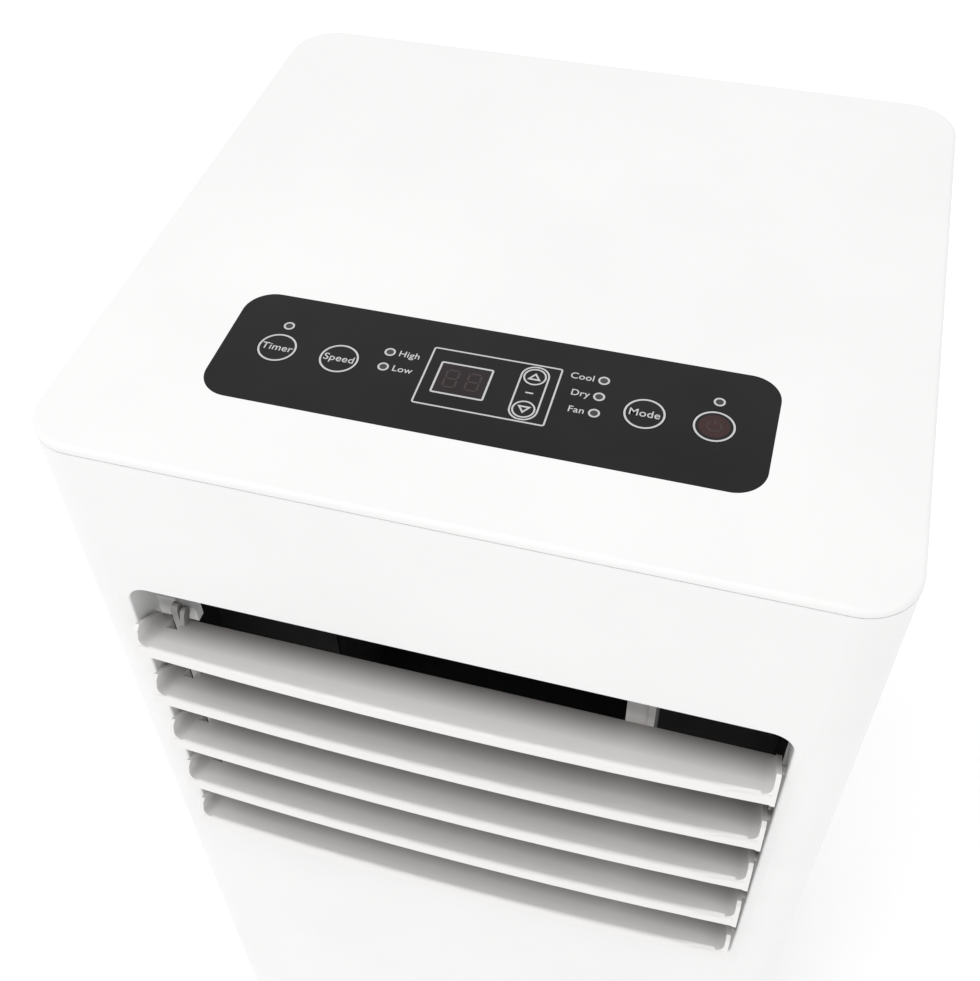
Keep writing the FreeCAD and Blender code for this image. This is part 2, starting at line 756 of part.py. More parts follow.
def display_board():
    board = Piece("display_board")
    board_x = ("-(fascia_width / 2 - board_margin)", "fascia_width / 2 - board_margin")
    reach = "(fascia_depth / 2 - board_margin)"
    board_y = ("panel_y - " + reach, "panel_y + " + reach)
    board.block(board_x, board_y, ("board_top - board_thick", "board_top"), "2")
    for x, y in lamp_places():
        board.disc((x, "panel_y + " + y), "lamp_radius + lamp_spread", ("board_top", "board_top + lamp_body"))


def key_switches():
    """The small push switches on the board, one under each key."""
    cases = []
    half = value("switch_size") / 2
    for _, x, y, _ in key_places():
        across = value(x)
        back = value("panel_y + " + y)
        low = value("board_top")
        high = low + value("switch_height")
        body_top = high - value("switch_nub")
        case = brick((across - half, across + half), (back - half, back + half), (low, body_top))
        nub = tube("z", (across, back), value("switch_nub_radius"), (body_top, high))
        cases.append(case.fuse(nub))
    made("key_switches", Part.makeCompound(cases))


def digit_display():
    digits = Piece("digit_display")
    x = ("-window_left + window_ledge", "window_width - window_left - window_ledge")
    y = ("%s + window_ledge" % WINDOW_Y[0], "%s - window_ledge" % WINDOW_Y[1])
    digits.block(x, y, ("board_top", "plate_under - digit_gap"))


# Outlet and louvres ------------------------------------------------------------------------------


def louvre_shape():
    """One blade about its pivot, flat: front towards -Y, its top near the pivot's level."""
    half = value("louvre_half")
    ends = value("louvre_front")
    bow = value("louvre_bow")
    rear = value("louvre_rear")
    high = value("louvre_top")
    thick = value("louvre_thick")
    side = value("flange_thick")
    drop = value("lip_drop")

    def plan(front, low, top):
        """A slab with a straight rear edge and a bowed front edge."""
        corner_left = FreeCAD.Vector(-half, -front, low)
        corner_right = FreeCAD.Vector(half, -front, low)
        middle = FreeCAD.Vector(0, -front - bow, low)
        back_right = FreeCAD.Vector(half, rear, low)
        back_left = FreeCAD.Vector(-half, rear, low)
        sides = [
            Part.Arc(corner_left, middle, corner_right).toShape(),
            Part.makeLine(corner_right, back_right),
            Part.makeLine(back_right, back_left),
            Part.makeLine(back_left, corner_left),
        ]
        return Part.Face(Part.Wire(sides)).extrude(FreeCAD.Vector(0, 0, top - low))

    plate = plan(ends, high - thick, high)
    lip = plan(ends, -drop, high).cut(plan(ends - thick, -drop - 1, high + 1))
    blade = plate.fuse(lip).removeSplitter()
    for round_size, level in (("lip_round", high), ("lip_foot_round", -drop)):
        bows = [edge for edge in blade.Edges if outer_bow(edge, ends + bow, level)]
        blade = blade.makeFillet(value(round_size), bows)
    profile = [
        (-ends, -drop),
        (-ends, value("flange_rise") - 2),
        (-ends + 2, value("flange_rise")),
        (-4, value("flange_rise") - 3.5),
        (rear - 3, 3),
        (rear - 3, high - thick),
        (-ends + 3 * thick, high - thick),
    ]
    for right in (-1, 1):
        start = right * half if right < 0 else half - side
        points = [FreeCAD.Vector(start, y, z) for y, z in profile]
        flange = Part.Face(Part.makePolygon(points + points[:1])).extrude(X * side)
        blade = blade.fuse(flange)
        fillet = value("flange_thick") * 2
        low = -half + side if right < 0 else half - side - fillet
        cove = brick((low, low + fillet), (-ends, rear - 3), (high, high + fillet))
        round_x = low + fillet if right < 0 else low
        cove = cove.cut(tube("y", (round_x, high + fillet), fillet, (-ends - 1, rear)))
        blade = blade.fuse(cove)
        reach = value("outlet_half_width + wall - 0.3")
        stub_ends = (half - side, reach) if right > 0 else (-reach, -half + side)
        blade = blade.fuse(tube("x", (0, 0), value("stub_radius"), stub_ends))
    return link_lug(blade.removeSplitter())


def outer_bow(edge, reach, level):
    """True for the long curved edge at the very front of a blade, at the given level."""
    middle = edge.valueAt((edge.FirstParameter + edge.LastParameter) / 2)
    curved = edge.Curve.TypeId == "Part::GeomCircle"
    return curved and abs(middle.y + reach) < 0.01 and abs(middle.z - level) < 0.01


def link_lug(blade):
    """The ear beside the link bar, its pin, and the notch that the bar passes through."""
    back = value("link_pin_back")
    rise = value("link_pin_rise")
    high = value("louvre_top")
    bar = value("link_half")
    at = -value("link_x")
    near = at + bar + 1
    pin = value("link_pin_radius")
    notch = brick((at - bar - 1, near), (-1, 30), (-30, high + 1))
    blade = blade.cut(notch)
    ear = tube("x", (back, rise), pin + 1.5, (near, near + 2))
    web = brick((near, near + 2), (back - pin - 1.5, back + pin + 1.5), (high - 1, rise))
    web = web.common(brick((near, near + 2), (-30, value("louvre_rear")), (-30, 30)))
    pivot_pin = tube("x", (back, rise), pin, (at - bar - 1, near + 1))
    return blade.fuse([ear, web, pivot_pin]).removeSplitter()


def louvres():
    shape = louvre_shape()
    for number in range(value_count("louvre_count")):
        blade = made("louvre_%d" % (number + 1), shape)
        blade.Placement = FreeCAD.Placement(FreeCAD.Vector(), FreeCAD.Rotation(X, -1))
        lift = "pivot_z - %d * louvre_pitch" % number
        bind(blade, Placement__Base__y="pivot_y", Placement__Base__z=lift)
        bind(blade, Placement__Rotation__Angle="360deg - louvre_tilt * 1deg")


def value_count(text):
    return int(round(value(text)))


def louvre_link_bar():
    """The upright bar behind the blades; one hole is a close fit, the others have play."""
    bar = Piece("louvre_link_bar")
    back = "(link_pin_back * cos_tilt + link_pin_rise * sin_tilt)"
    rise = "(link_pin_rise * cos_tilt - link_pin_back * sin_tilt)"
    pin_y = "pivot_y + " + back
    pin_z = "pivot_z + " + rise
    x = ("-link_x - link_half", "-link_x + link_half")
    y = (pin_y + " - link_width / 2", pin_y + " + link_width / 2")
    low = pin_z + " - (louvre_count - 1) * louvre_pitch - link_width"
    bar.block(x, y, (low, pin_z + " + link_width"), "link_width / 2 - 0.01", "x")
    bar.disc((pin_y, pin_z), "link_pin_radius + stub_gap", x, "x", cut=True)
    place = (pin_y, pin_z + " - louvre_pitch")
    loose = bar.disc(place, "link_pin_radius + link_play", x, "x", cut=True)
    bar.repeat([loose], "z", "louvre_pitch", "louvre_count - 1", back=True)


def outlet_strut():
    """The upright rib behind the blades, with a fin on its right side."""
    strut = Piece("outlet_strut")
    z = ("outlet_low", "outlet_high")
    left = "strut_x - strut_width / 2"
    right = "strut_x + strut_width / 2"
    face = "front + strut_setback"
    strut.block((left, right), (face + " + 1", face + " + 4"), z)
    strut.block((right, right + " + strut_fin"), (face, face + " + strut_depth"), z)


def outlet_duct():
    """The dark box behind the louvres, open in front, with a mouth for the blower at its back."""
    duct = Piece("outlet_duct")
    outer_x = ("-(outlet_half_width + wall)", "outlet_half_width + wall")
    outer_z = ("outlet_low - wall", "outlet_high + wall")
    duct.block(outer_x, ("duct_y", "duct_rear"), outer_z, "outlet_corner + wall", "y")
    inner_x = ("-outlet_half_width", "outlet_half_width")
    inner_z = ("outlet_low", "outlet_high")
    inner_y = ("duct_y - 1", "duct_rear - duct_wall")
    duct.block(inner_x, inner_y, inner_z, "outlet_corner", "y", cut=True)
    mouth_x = ("-cold_side", "cold_side")
    mouth_y = ("duct_rear - duct_wall - 1", "duct_rear + 1")
    duct.block(mouth_x, mouth_y, ("cold_mouth_low", "cold_mouth_high"), axis="y", cut=True)


# Blowers -----------------------------------------------------------------------------------------


def fan_wheel(centre, radius, half):
    """A squirrel-cage wheel: a hub plate, two rims and a ring of blades, on a stub of shaft."""
    x, y, z = centre
    blades = value_count("blade_count")
    chord = value("blade_chord")
    thick = value("blade_thick")
    shapes = [tube("x", (y, z), radius, (x - thick, x + thick))]
    rim = value("fan_rim")
    for end in (x - half, x + half - rim):
        ring = tube("x", (y, z), radius, (end, end + rim))
        shapes.append(ring.cut(tube("x", (y, z), radius - chord, (end - 1, end + rim + 1))))
    for step in range(blades):
        blade = brick((x - half + 1, x + half - 1), (-thick / 2, thick / 2), (radius - chord, radius - 0.5))
        blade.translate(FreeCAD.Vector(0, y, z))
        blade.rotate(FreeCAD.Vector(0, y, z + radius - chord / 2), X, value("blade_lean"))
        blade.rotate(FreeCAD.Vector(0, y, z), X, 360.0 * step / blades)
        shapes.append(blade)
    hub = value("fan_hub_half")
    shapes.append(tube("x", (y, z), value("shaft_radius + fan_hub_wall"), (x - hub, x + hub)))
    return shapes


def fan_shaft(centre, low, high):
    return tube("x", centre, value("shaft_radius"), (low, high))


def blower_housing(centre, radius, half, inlet, mouth):
    """A drum round the wheel with a hole in each side and a straight mouth."""
    x, y, z = centre
    wall = value("scroll_wall")
    drum = tube("x", (y, z), radius + wall, (x - half - wall, x + half + wall))
    mouth_y, mouth_z = mouth
    outer = brick((x - half - wall, x + half + wall), mouth_y, (mouth_z[0] - wall, mouth_z[1] + wall))
    space = tube("x", (y, z), radius, (x - half, x + half))
    inner = brick((x - half, x + half), (mouth_y[0] - 5, mouth_y[1] + 5), mouth_z)
    if mouth_y[0] < y:
        inner = inner.common(brick((x - half, x + half), (mouth_y[0] - 5, y), mouth_z))
    else:
        inner = inner.common(brick((x - half, x + half), (y, mouth_y[1] + 5), mouth_z))
    holes = tube("x", (y, z), inlet, (x - half - wall - 1, x + half + wall + 1))
    return drum.fuse(outer).cut(space.fuse(inner)).cut(holes)


def fan_motor(centre, wall_x, outward):
    """A motor can with three legs to the blower's side wall and a bore for the shaft."""
    y, z = centre
    gap = value("motor_gap")
    long = value("motor_length")
    radius = value("motor_radius")
    leg = value("motor_leg_radius")

    def ends(near, far):
        low, high = sorted((wall_x + outward * near, wall_x + outward * far))
        return low, high

    can = tube("x", centre, radius, ends(gap, gap + long))
    plate = tube("x", centre, radius + value("motor_plate_rim"), ends(gap, gap + value("motor_plate")))
    body = can.fuse(plate)
    reach = value("motor_leg_reach")
    for step in range(3):
        angle = math.radians(90 + 120 * step)
        spot = (y + reach * math.cos(angle), z + reach * math.sin(angle))
        body = body.fuse(tube("x", spot, leg, ends(0, gap + 1)))
    bore = tube("x", centre, value("shaft_radius + shaft_gap"), ends(gap - 1, gap + long - 6))
    return body.cut(bore).removeSplitter()


def cold_blower():
    centre = (0, value("cold_fan_y"), value("cold_fan_z"))
    radius = value("cold_scroll")
    half = value("cold_side")
    mouth_z = (value("cold_mouth_low"), value("cold_mouth_high"))
    mouth = ((value("duct_rear"), centre[1]), mouth_z)
    shape = blower_housing(centre, radius, half, value("cold_inlet_radius"), mouth)
    made("evaporator_scroll", shape.removeSplitter())
    wheel = fan_wheel(centre, value("cold_fan_radius"), value("cold_fan_half"))
    side = -half - value("scroll_wall")
    wheel.append(fan_shaft(centre[1:], side - value("motor_gap + motor_length - shaft_end"), centre[0]))
    made("evaporator_fan", wheel[0].fuse(wheel[1:]))
    made("evaporator_fan_motor", fan_motor(centre[1:], side, -1))


def hot_blower():
    centre = (value("hot_fan_x"), value("hot_fan_y"), value("hot_fan_z"))
    radius = value("hot_scroll")
    half = value("hot_side")
    wall = value("scroll_wall")
    mouth_z = (value("hot_mouth_low"), value("hot_mouth_high"))
    mouth = ((centre[1], value("hot_mouth_y")), mouth_z)
    shape = blower_housing(centre, radius, half, value("hot_inlet_radius"), mouth)
    spread = value("scroll_leg_half")
    thick = value("scroll_leg_thick")
    tall = (value("deck"), centre[2])
    legs = brick((centre[0] - half, centre[0] + half), (centre[1] - spread, centre[1] + spread), tall)
    between = (centre[0] - half + thick, centre[0] + half - thick)
    legs = legs.cut(brick(between, (centre[1] - 2 * spread, centre[1] + 2 * spread), (0, centre[2])))
    legs = legs.cut(tube("x", centre[1:], radius + wall, (centre[0] - radius, centre[0] + radius)))
    made("condenser_scroll", shape.fuse(legs).removeSplitter())
    wheel = fan_wheel(centre, value("hot_fan_radius"), value("hot_fan_half"))
    side = centre[0] - half - wall
    wheel.append(fan_shaft(centre[1:], side - value("motor_gap + motor_length - shaft_end"), centre[0]))
    made("condenser_fan", wheel[0].fuse(wheel[1:]))
    made("condenser_fan_motor", fan_motor(centre[1:], side, -1))


def exhaust_duct():
    """A loft from the hot blower's square mouth to the round collar."""
    wall = value("scroll_wall")
    x = value("hot_fan_x")
    half = value("hot_side")
    start = value("hot_mouth_y")
    end = value("rear - wall")
    round_centre = FreeCAD.Vector(value("collar_x"), end, value("collar_z"))

    def loft(spread, reach):
        low = value("hot_mouth_low") - spread
        high = value("hot_mouth_high") + spread
        corners = [(x - half - spread, low), (x + half + spread, low), (x + half + spread, high)]
        corners.append((x - half - spread, high))
        points = [FreeCAD.Vector(cx, start - reach, cz) for cx, cz in corners]
        square = Part.makePolygon(points + points[:1])
        ring = Part.Wire(Part.makeCircle(value("collar_radius") + spread, round_centre + Y * reach, Y))
        return Part.makeLoft([square, ring], True)

    made("exhaust_duct", loft(wall, 0).cut(loft(0, 0.01)))


def exhaust_collar():
    """The round spigot that the hose adaptor slips into, held by a flange inside the back wall."""
    collar = Piece("exhaust_collar")
    centre = ("collar_x", "collar_z")
    outer = "collar_radius + collar_wall"
    collar.disc(centre, outer, ("rear - wall", "rear + lip_reach"), "y")
    collar.disc(centre, "collar_radius", ("rear - wall - 1", "rear + lip_reach + 1"), "y", cut=True)
    end = value("rear + lip_reach")
    collar.round_edges("1", lambda edge: lies_at(edge, "y", end))


# Refrigerant circuit -----------------------------------------------------------------------------


def coil(label, half, y, depth, low, height, foot):
    """A finned block between two end plates, with the return bends of its tubes."""
    plate = value("coil_plate")
    thick = value("fin_thick")
    radius = value("tube_radius")
    pitch = value("fin_pitch")
    shapes = [brick((-half, half), (y + 5, y + depth - 5), (low, low + height))]
    count = int(2 * half // pitch)
    first = -pitch * (count - 1) / 2
    for step in range(count):
        x = first + step * pitch
        shapes.append(brick((x - thick / 2, x + thick / 2), (y + 1, y + depth - 1), (low, low + height)))
    for right in (-1, 1):
        ends = sorted((right * half, right * (half + plate)))
        shapes.append(brick(ends, (y, y + depth), (foot, low + height)))
    rows = int(height // value("tube_pitch"))
    across = y + depth / 2
    for right in (-1, 1):
        shift = 0 if right > 0 else 1
        for row in range(shift, rows - 1, 2):
            z = low + value("tube_pitch") * (row + 1)
            spot = FreeCAD.Vector(right * (half + plate), across, z)
            bend = Part.makeTorus(value("tube_pitch") / 2, radius, spot, Y)
            outside = sorted((right * (half + plate / 2), right * (half + 60)))
            shapes.append(bend.common(brick(outside, (y - 20, y + 60), (z - 60, z + 60))))
    made(label, shapes[0].fuse(shapes[1:]))


def evaporator_coil():
    floor = value("tray_z") + value("wall")
    low = floor + 6
    coil("evaporator_coil", value("evaporator_half"), value("evaporator_y"), value("evaporator_depth"),
         low, value("evaporator_height"), floor)


def condenser_coil():
    coil("condenser_coil", value("condenser_half"), value("condenser_y"), value("condenser_depth"),
         value("coil_low"), value("condenser_height"), value("deck"))


def drain_tray():
    """Catches what drips off the cold coil; it hangs from the back wall."""
    tray = Piece("drain_tray")
    x = ("-tray_half", "tray_half")
    y = ("tray_front", "rear - wall")
    tray.block(x, y, ("tray_z", "tray_z + tray_height"))
    inner_x = ("-tray_half + wall", "tray_half - wall")
    inner_y = ("tray_front + wall", "rear - 2 * wall")
    tray.block(inner_x, inner_y, ("tray_z + wall", "tray_z + tray_height + 1"), cut=True)


def foot_places():
    for angle in (30, 150, 270):
        turn = "%d * 1deg" % angle
        yield "compressor_x + foot_circle * cos(%s)" % turn, "compressor_y + foot_circle * sin(%s)" % turn


def compressor():
    """The welded can on its foot plate."""
    can = Piece("compressor")
    centre = ("compressor_x", "compressor_y")
    can.disc(centre, "compressor_radius", ("foot_z", "foot_z + compressor_height"))
    top = value("foot_z + compressor_height")
    can.round_edges("compressor_round", lambda edge: lies_at(edge, "z", top))
    for spot in foot_places():
        can.disc(spot, "foot_radius", ("foot_z", "shell_foot"))
    can.disc(centre, "compressor_radius + 2", ("foot_z", "shell_foot"))
    for spot in foot_places():
        can.disc(spot, "bolt_radius + bolt_play", ("foot_z - 1", "shell_foot + 1"), cut=True)
    can.disc(centre, "14", ("foot_z + compressor_height - 1", "foot_z + compressor_height + 6"))


def compressor_grommets():
    shapes = []
    for x, y in foot_places():
        spot = (value(x), value(y))
        ends = (value("deck"), value("foot_z"))
        ring = tube("z", spot, value("grommet_radius"), ends)
        shapes.append(ring.cut(tube("z", spot, value("bolt_radius + bolt_play"), ends)))
    made("compressor_grommets", Part.makeCompound(shapes))


def compressor_bolts():
    shapes = []
    for x, y in foot_places():
        spot = (value(x), value(y))
        head = value("shell_foot")
        shank = tube("z", spot, value("bolt_radius"), (value("deck"), head))
        cap = tube("z", spot, value("bolt_head"), (head, head + value("bolt_head_height")))
        shapes.append(shank.fuse(cap).removeSplitter())
    made("compressor_bolts", Part.makeCompound(shapes))


def accumulator():
    """The small bottle beside the compressor, with the elbow that feeds it."""
    low = value("accumulator_z")
    high = low + value("accumulator_height")
    spot = (value("accumulator_x"), value("compressor_y"))
    bottle = tube("z", spot, value("accumulator_radius"), (low, high))
    rims = [edge for edge in bottle.Edges if edge.Curve.TypeId == "Part::GeomCircle"]
    bottle = bottle.makeFillet(6, rims)
    arm = tube("x", (spot[1], low + 12), value("pipe_radius"), (value("compressor_x"), spot[0]))
    can = tube("z", (value("compressor_x"), spot[1]), value("compressor_radius"), (0, high + 50))
    made("accumulator", bottle.fuse(arm).cut(can).removeSplitter())


def pipe_run(points, radius, bend):
    """A round pipe along straight runs joined by tangent arcs of one bend radius."""
    edges = []
    start = points[0]
    for before, corner, after in zip(points, points[1:], points[2:]):
        inward = (before - corner).normalize()
        outward = (after - corner).normalize()
        half_angle = inward.getAngle(outward) / 2
        back = bend / math.tan(half_angle)
        first = corner + inward * back
        last = corner + outward * back
        centre = corner + (inward + outward).normalize() * (bend / math.sin(half_angle))
        middle = centre + (corner - centre).normalize() * bend
        edges.append(Part.makeLine(start, first))
        edges.append(Part.Arc(first, middle, last).toShape())
        start = last
    edges.append(Part.makeLine(start, points[-1]))
    path = Part.Wire(edges)
    ring = Part.Wire(Part.makeCircle(radius, points[0], points[1] - points[0]))
    return path.makePipeShell([ring], True, False)


def pipes():
    """Discharge, suction and capillary lines between the compressor and the two coils."""
    radius = value("pipe_radius")
    can_top = value("foot_z + compressor_height") + 6
    x = value("compressor_x")
    y = value("compressor_y")
    left = -value("condenser_half") - value("coil_plate")
    coil_y = value("condenser_y") + value("condenser_depth") / 2
    coil_top = value("coil_low") + value("condenser_height")
    vector = FreeCAD.Vector
    high = coil_top + 24
    discharge = [
        vector(x, y, can_top),
        vector(x, y, high),
        vector(x - 25, coil_y - 60, high),
        vector(left + 20, coil_y, high),
        vector(left + 20, coil_y, coil_top),
    ]
    made("discharge_line", pipe_run(discharge, radius, 16))
    bottle_x = value("accumulator_x")
    bottle_top = value("accumulator_z") + value("accumulator_height")
    plate_x = -value("evaporator_half") - value("coil_plate")
    cold_y = value("evaporator_y") + value("evaporator_depth") / 2
    low = value("tray_z") - 50
    suction = [
        vector(bottle_x, y, bottle_top),
        vector(bottle_x, y, low),
        vector(plate_x - 22, y + 60, low),
        vector(plate_x - 22, value("tray_front") - 10, low),
        vector(plate_x - 22, value("tray_front") - 10, value("tray_z") + 46),
        vector(plate_x - 22, cold_y, value("tray_z") + 46),
        vector(plate_x, cold_y, value("tray_z") + 46),
    ]
    made("suction_line", pipe_run(suction, radius, 9))
    thin = value("capillary_radius")
    lower = value("tray_z") - 70
    capillary = [
        vector(-left - 20, coil_y, coil_top),
        vector(-left - 20, coil_y, lower - 40),
        vector(-left - 10, value("tray_front") - 16, lower),
        vector(-left - 10, value("tray_front") - 16, value("tray_z") + 60),
        vector(-left - 10, cold_y, value("tray_z") + 60),
        vector(-plate_x + 0.5, cold_y, value("tray_z") + 60),
    ]
    made("capillary_tube", pipe_run(capillary, thin, 6))


# Electrics ---------------------------------------------------------------------------------------

BOX_X = ("ebox_left", "ebox_right")
BOX_Y = ("front + wall", "front + wall + ebox_depth")
BOX_Z = ("ebox_low", "ebox_low + ebox_height")


def inside(ends, by):
    return "%s + %s" % (ends[0], by), "%s - (%s)" % (ends[1], by)


def electrical_box():
    box = Piece("electrical_box")
    box.block(BOX_X, BOX_Y, BOX_Z)
    box.block(inside(BOX_X, "ebox_wall"), inside(BOX_Y, "ebox_wall"), inside(BOX_Z, "ebox_wall"), cut=True)


def main_board():
    """The control board on the box floor, with its transformer, relays and capacitor."""
    floor = value("ebox_low + ebox_wall")
    x = (value("ebox_left") + 6, value("ebox_right") - 6)
    y = (value(BOX_Y[0]) + 6, value(BOX_Y[1]) - 6)
    board = brick(x, y, (floor + 4, floor + 5.6))
    shapes = []
    for at_x in (x[0] + 5, x[1] - 5):
        for at_y in (y[0] + 5, y[1] - 5):
            shapes.append(tube("z", (at_x, at_y), 2.5, (floor, floor + 4)))
    top = floor + 5.6
    shapes.append(brick((x[0] + 8, x[0] + 38), (y[0] + 8, y[0] + 34), (top, top + 24)))
    for step in range(3):
        near = x[0] + 46 + 16 * step
        shapes.append(brick((near, near + 12), (y[0] + 8, y[0] + 26), (top, top + 14)))
    radius = value("capacitor_radius")
    low = x[0] + 10
    can = tube("x", (y[1] - radius - 2, top + radius - 0.5), radius, (low, low + value("capacitor_length")))
    shapes.append(can)
    made("main_board", board.fuse(shapes).removeSplitter())


# Rear fittings -----------------------------------------------------------------------------------


def intake_grille():
    """The lift-out cassette: a slotted face with a shallow frame behind it."""
    grille = Piece("intake_grille")
    x = ("-intake_half + intake_play", "intake_half - intake_play")
    z = ("intake_low + intake_play", "intake_low + intake_height - intake_play")
    corner = "intake_corner - intake_play"
    back = "rear - wall - mesh_gap"
    grille.block(x, (back, "rear"), z, corner, "y")
    hollow_y = (back + " - 1", "rear - wall")
    grille.block(inside(x, "wall"), hollow_y, inside(z, "wall"), corner + " - wall", "y", cut=True)
    first = "intake_low + (intake_height - (grille_slots - 1) * grille_pitch - grille_slot) / 2"
    for left in ("-(grille_slot_length + grille_rib / 2)", "grille_rib / 2"):
        slot_x = (left, "(%s) + grille_slot_length" % left)
        slot_z = (first, first + " + grille_slot")
        through = ("rear - wall - 1", "rear + 1")
        slot = grille.block(slot_x, through, slot_z, "grille_slot / 2 - 0.01", "y", cut=True)
        grille.repeat([slot], "z", "grille_pitch", "grille_slots")


def filter_mesh():
    """The washable sheet in the cassette, kept as a plain sheet in its rim."""
    x = ("-intake_half + intake_play + wall", "intake_half - intake_play - wall")
    z = ("intake_low + intake_play + wall", "intake_low + intake_height - intake_play - wall")
    back = "rear - wall - mesh_gap"
    corner = "intake_corner - intake_play - wall"
    Piece("filter_mesh").block(x, (back, back + " + mesh_thick"), z, corner, "y")


def cord_gland():
    """The strain-relief bushing in the back wall, with its open bore."""
    gland = Piece("cord_gland")
    centre = ("gland_x", "gland_z")
    gland.disc(centre, "gland_radius", ("rear - wall", "rear"), "y")
    gland.disc(centre, "gland_radius + 2", ("rear - wall - 3", "rear - wall"), "y")
    gland.disc(centre, "gland_radius + 2", ("rear", "rear + 2"), "y")
    gland.disc(centre, "gland_radius - 2", ("rear + 2", "rear + gland_proud"), "y")
    gland.disc(centre, "gland_bore", ("rear - wall - 4", "rear + gland_proud + 1"), "y", cut=True)


def drain_outlet():
    """The drain nipple in the back wall and the rubber plug that pulls straight out of it."""
    nipple = Piece("drain_nipple")
    centre = ("drain_x", "drain_z")
    nipple.disc(centre, "drain_radius", ("rear - wall - 4", "rear + drain_proud"), "y")
    nipple.disc(centre, "drain_radius + 2.5", ("rear", "rear + 1.5"), "y")
    nipple.disc(centre, "drain_bore", ("rear - wall - 13", "rear + drain_proud + 1"), "y", cut=True)
    plug = Piece("drain_plug")
    face = "rear + drain_proud + 0.3"
    plug.disc(centre, "drain_bore - 0.1", ("rear - 6", face), "y")
    plug.disc(centre, "plug_head", (face, face + " + 3"), "y")
    grip = ("drain_x - 1.5", "drain_x + 1.5")
    plug.block(grip, (face + " + 3", face + " + 3 + plug_grip"), ("drain_z - 6", "drain_z + 6"))


def cover_screws():
    """Four screws through the back shell into the tabs of the base and the lid."""
    shapes = []
    wall_rear = value("rear")
    for right in (-1, 1):
        for height in ("shell_low + screw_rise", "shell_high - screw_rise"):
            spot = (right * value("screw_x"), value(height))
            shank = tube("y", spot, value("screw_radius"), (wall_rear - value("wall + lip_wall"), wall_rear))
            head_top = wall_rear + value("screw_head_height")
            head = tube("y", spot, value("screw_head"), (wall_rear, head_top))
            for turn in (0, 90):
                slot = brick((-2.2, 2.2), (head_top - 1, head_top + 1), (-0.35, 0.35))
                slot.rotate(FreeCAD.Vector(), Y, turn)
                slot.translate(FreeCAD.Vector(spot[0], 0, spot[1]))
                head = head.cut(slot)
            shapes.append(shank.fuse(head).removeSplitter())
    made("cover_screws", Part.makeCompound(shapes))


# Casters -----------------------------------------------------------------------------------------


def caster(name, right, back):
    """A hooded twin-wheel caster: the hood swivels on its stem, both wheels share one axle."""
    radius = value("caster_wheel_radius")
    outer = value("wheel_outer")
    web = value("caster_web") / 2
    hood_in = radius + value("caster_hood_gap")
    hood_out = hood_in + value("caster_hood_wall")
    high = value("caster_top")
    stem_y = back * value("caster_y")
    wheel_y = stem_y - value("caster_trail")
    x = right * value("caster_x")
    rib = tube("x", (wheel_y, radius), hood_out, (-web, web))
    cover = tube("x", (wheel_y, radius), hood_out, (-outer, outer))
    cover = cover.cut(tube("x", (wheel_y, radius), hood_in, (-outer - 1, outer + 1)))
    cover = cover.cut(brick((-50, 50), (wheel_y - 60, wheel_y + 60), (-10, radius + 2)))
    cover = cover.cut(brick((-50, 50), (wheel_y - 60, wheel_y - 8), (-10, 60)))
    neck = tube("z", (0, stem_y), value("caster_stem_radius") + 5, (radius, high))
    neck = neck.common(brick((-web, web), (stem_y - 20, stem_y + 20), (radius, high)))
    collar = tube("z", (0, stem_y), value("caster_stem_radius") + 5, (high - 5, high))
    swept = tube("x", (wheel_y, radius), hood_in, (-outer, outer))
    collar = collar.cut(swept)
    stem = tube("z", (0, stem_y), value("caster_stem_radius"), (high - 1, high + value("caster_stem_length")))
    floor_gap = brick((-50, 50), (wheel_y - 60, wheel_y + 60), (-10, 4))
    lid = brick((-50, 50), (wheel_y - 60, wheel_y + 60), (high, high + 60))
    hood = rib.cut(floor_gap).fuse([cover, neck]).cut(lid).fuse([collar, stem])
    hood = hood.cut(tube("x", (wheel_y, radius), value("caster_axle_radius + caster_axle_gap"), (-50, 50)))
    hood.translate(FreeCAD.Vector(x, 0, 0))
    made("caster_hood_" + name, hood.removeSplitter())

    wheels = tube("x", (wheel_y, radius), value("caster_axle_radius"), (-outer, outer))
    for side in (-1, 1):
        near = web + value("caster_side_gap")
        ends = sorted((side * near, side * outer))
        wheel = tube("x", (wheel_y, radius), radius, ends)
        rims = [edge for edge in wheel.Edges if edge.Curve.TypeId == "Part::GeomCircle"]
        wheel = wheel.makeFillet(2.5, rims)
        dish_ends = sorted((side * (outer - 3), side * (outer + 1)))
        wheel = wheel.cut(tube("x", (wheel_y, radius), radius - 5, dish_ends))
        hub = tube("x", (wheel_y, radius), 5, sorted((side * (outer - 4), side * outer)))
        wheels = wheels.fuse([wheel, hub])
    wheels.translate(FreeCAD.Vector(x, 0, 0))
    made("caster_wheels_" + name, wheels.removeSplitter())


def build():
    base_pan()
    front_cover()
    rear_cover()
    grip_cup("grip_cup_left", -1)
    grip_cup("grip_cup_right", 1)
    top_cover()
    control_fascia()
    display_window()
    keys()
    indicator_lenses()
    display_board()
    key_switches()
    digit_display()
    louvres()
    louvre_link_bar()
    outlet_strut()
    outlet_duct()
    cold_blower()
    hot_blower()
    exhaust_duct()
    exhaust_collar()
    evaporator_coil()
    condenser_coil()
    drain_tray()
    compressor()
    compressor_grommets()
    compressor_bolts()
    accumulator()
    pipes()
    electrical_box()
    main_board()
    intake_grille()
    filter_mesh()
    cord_gland()
    drain_outlet()
    cover_screws()
    for name, right, back in CASTERS:
        caster(name, right, back)


def sound(shape):
    return not shape.isNull() and shape.isValid() and len(shape.Solids) > 0


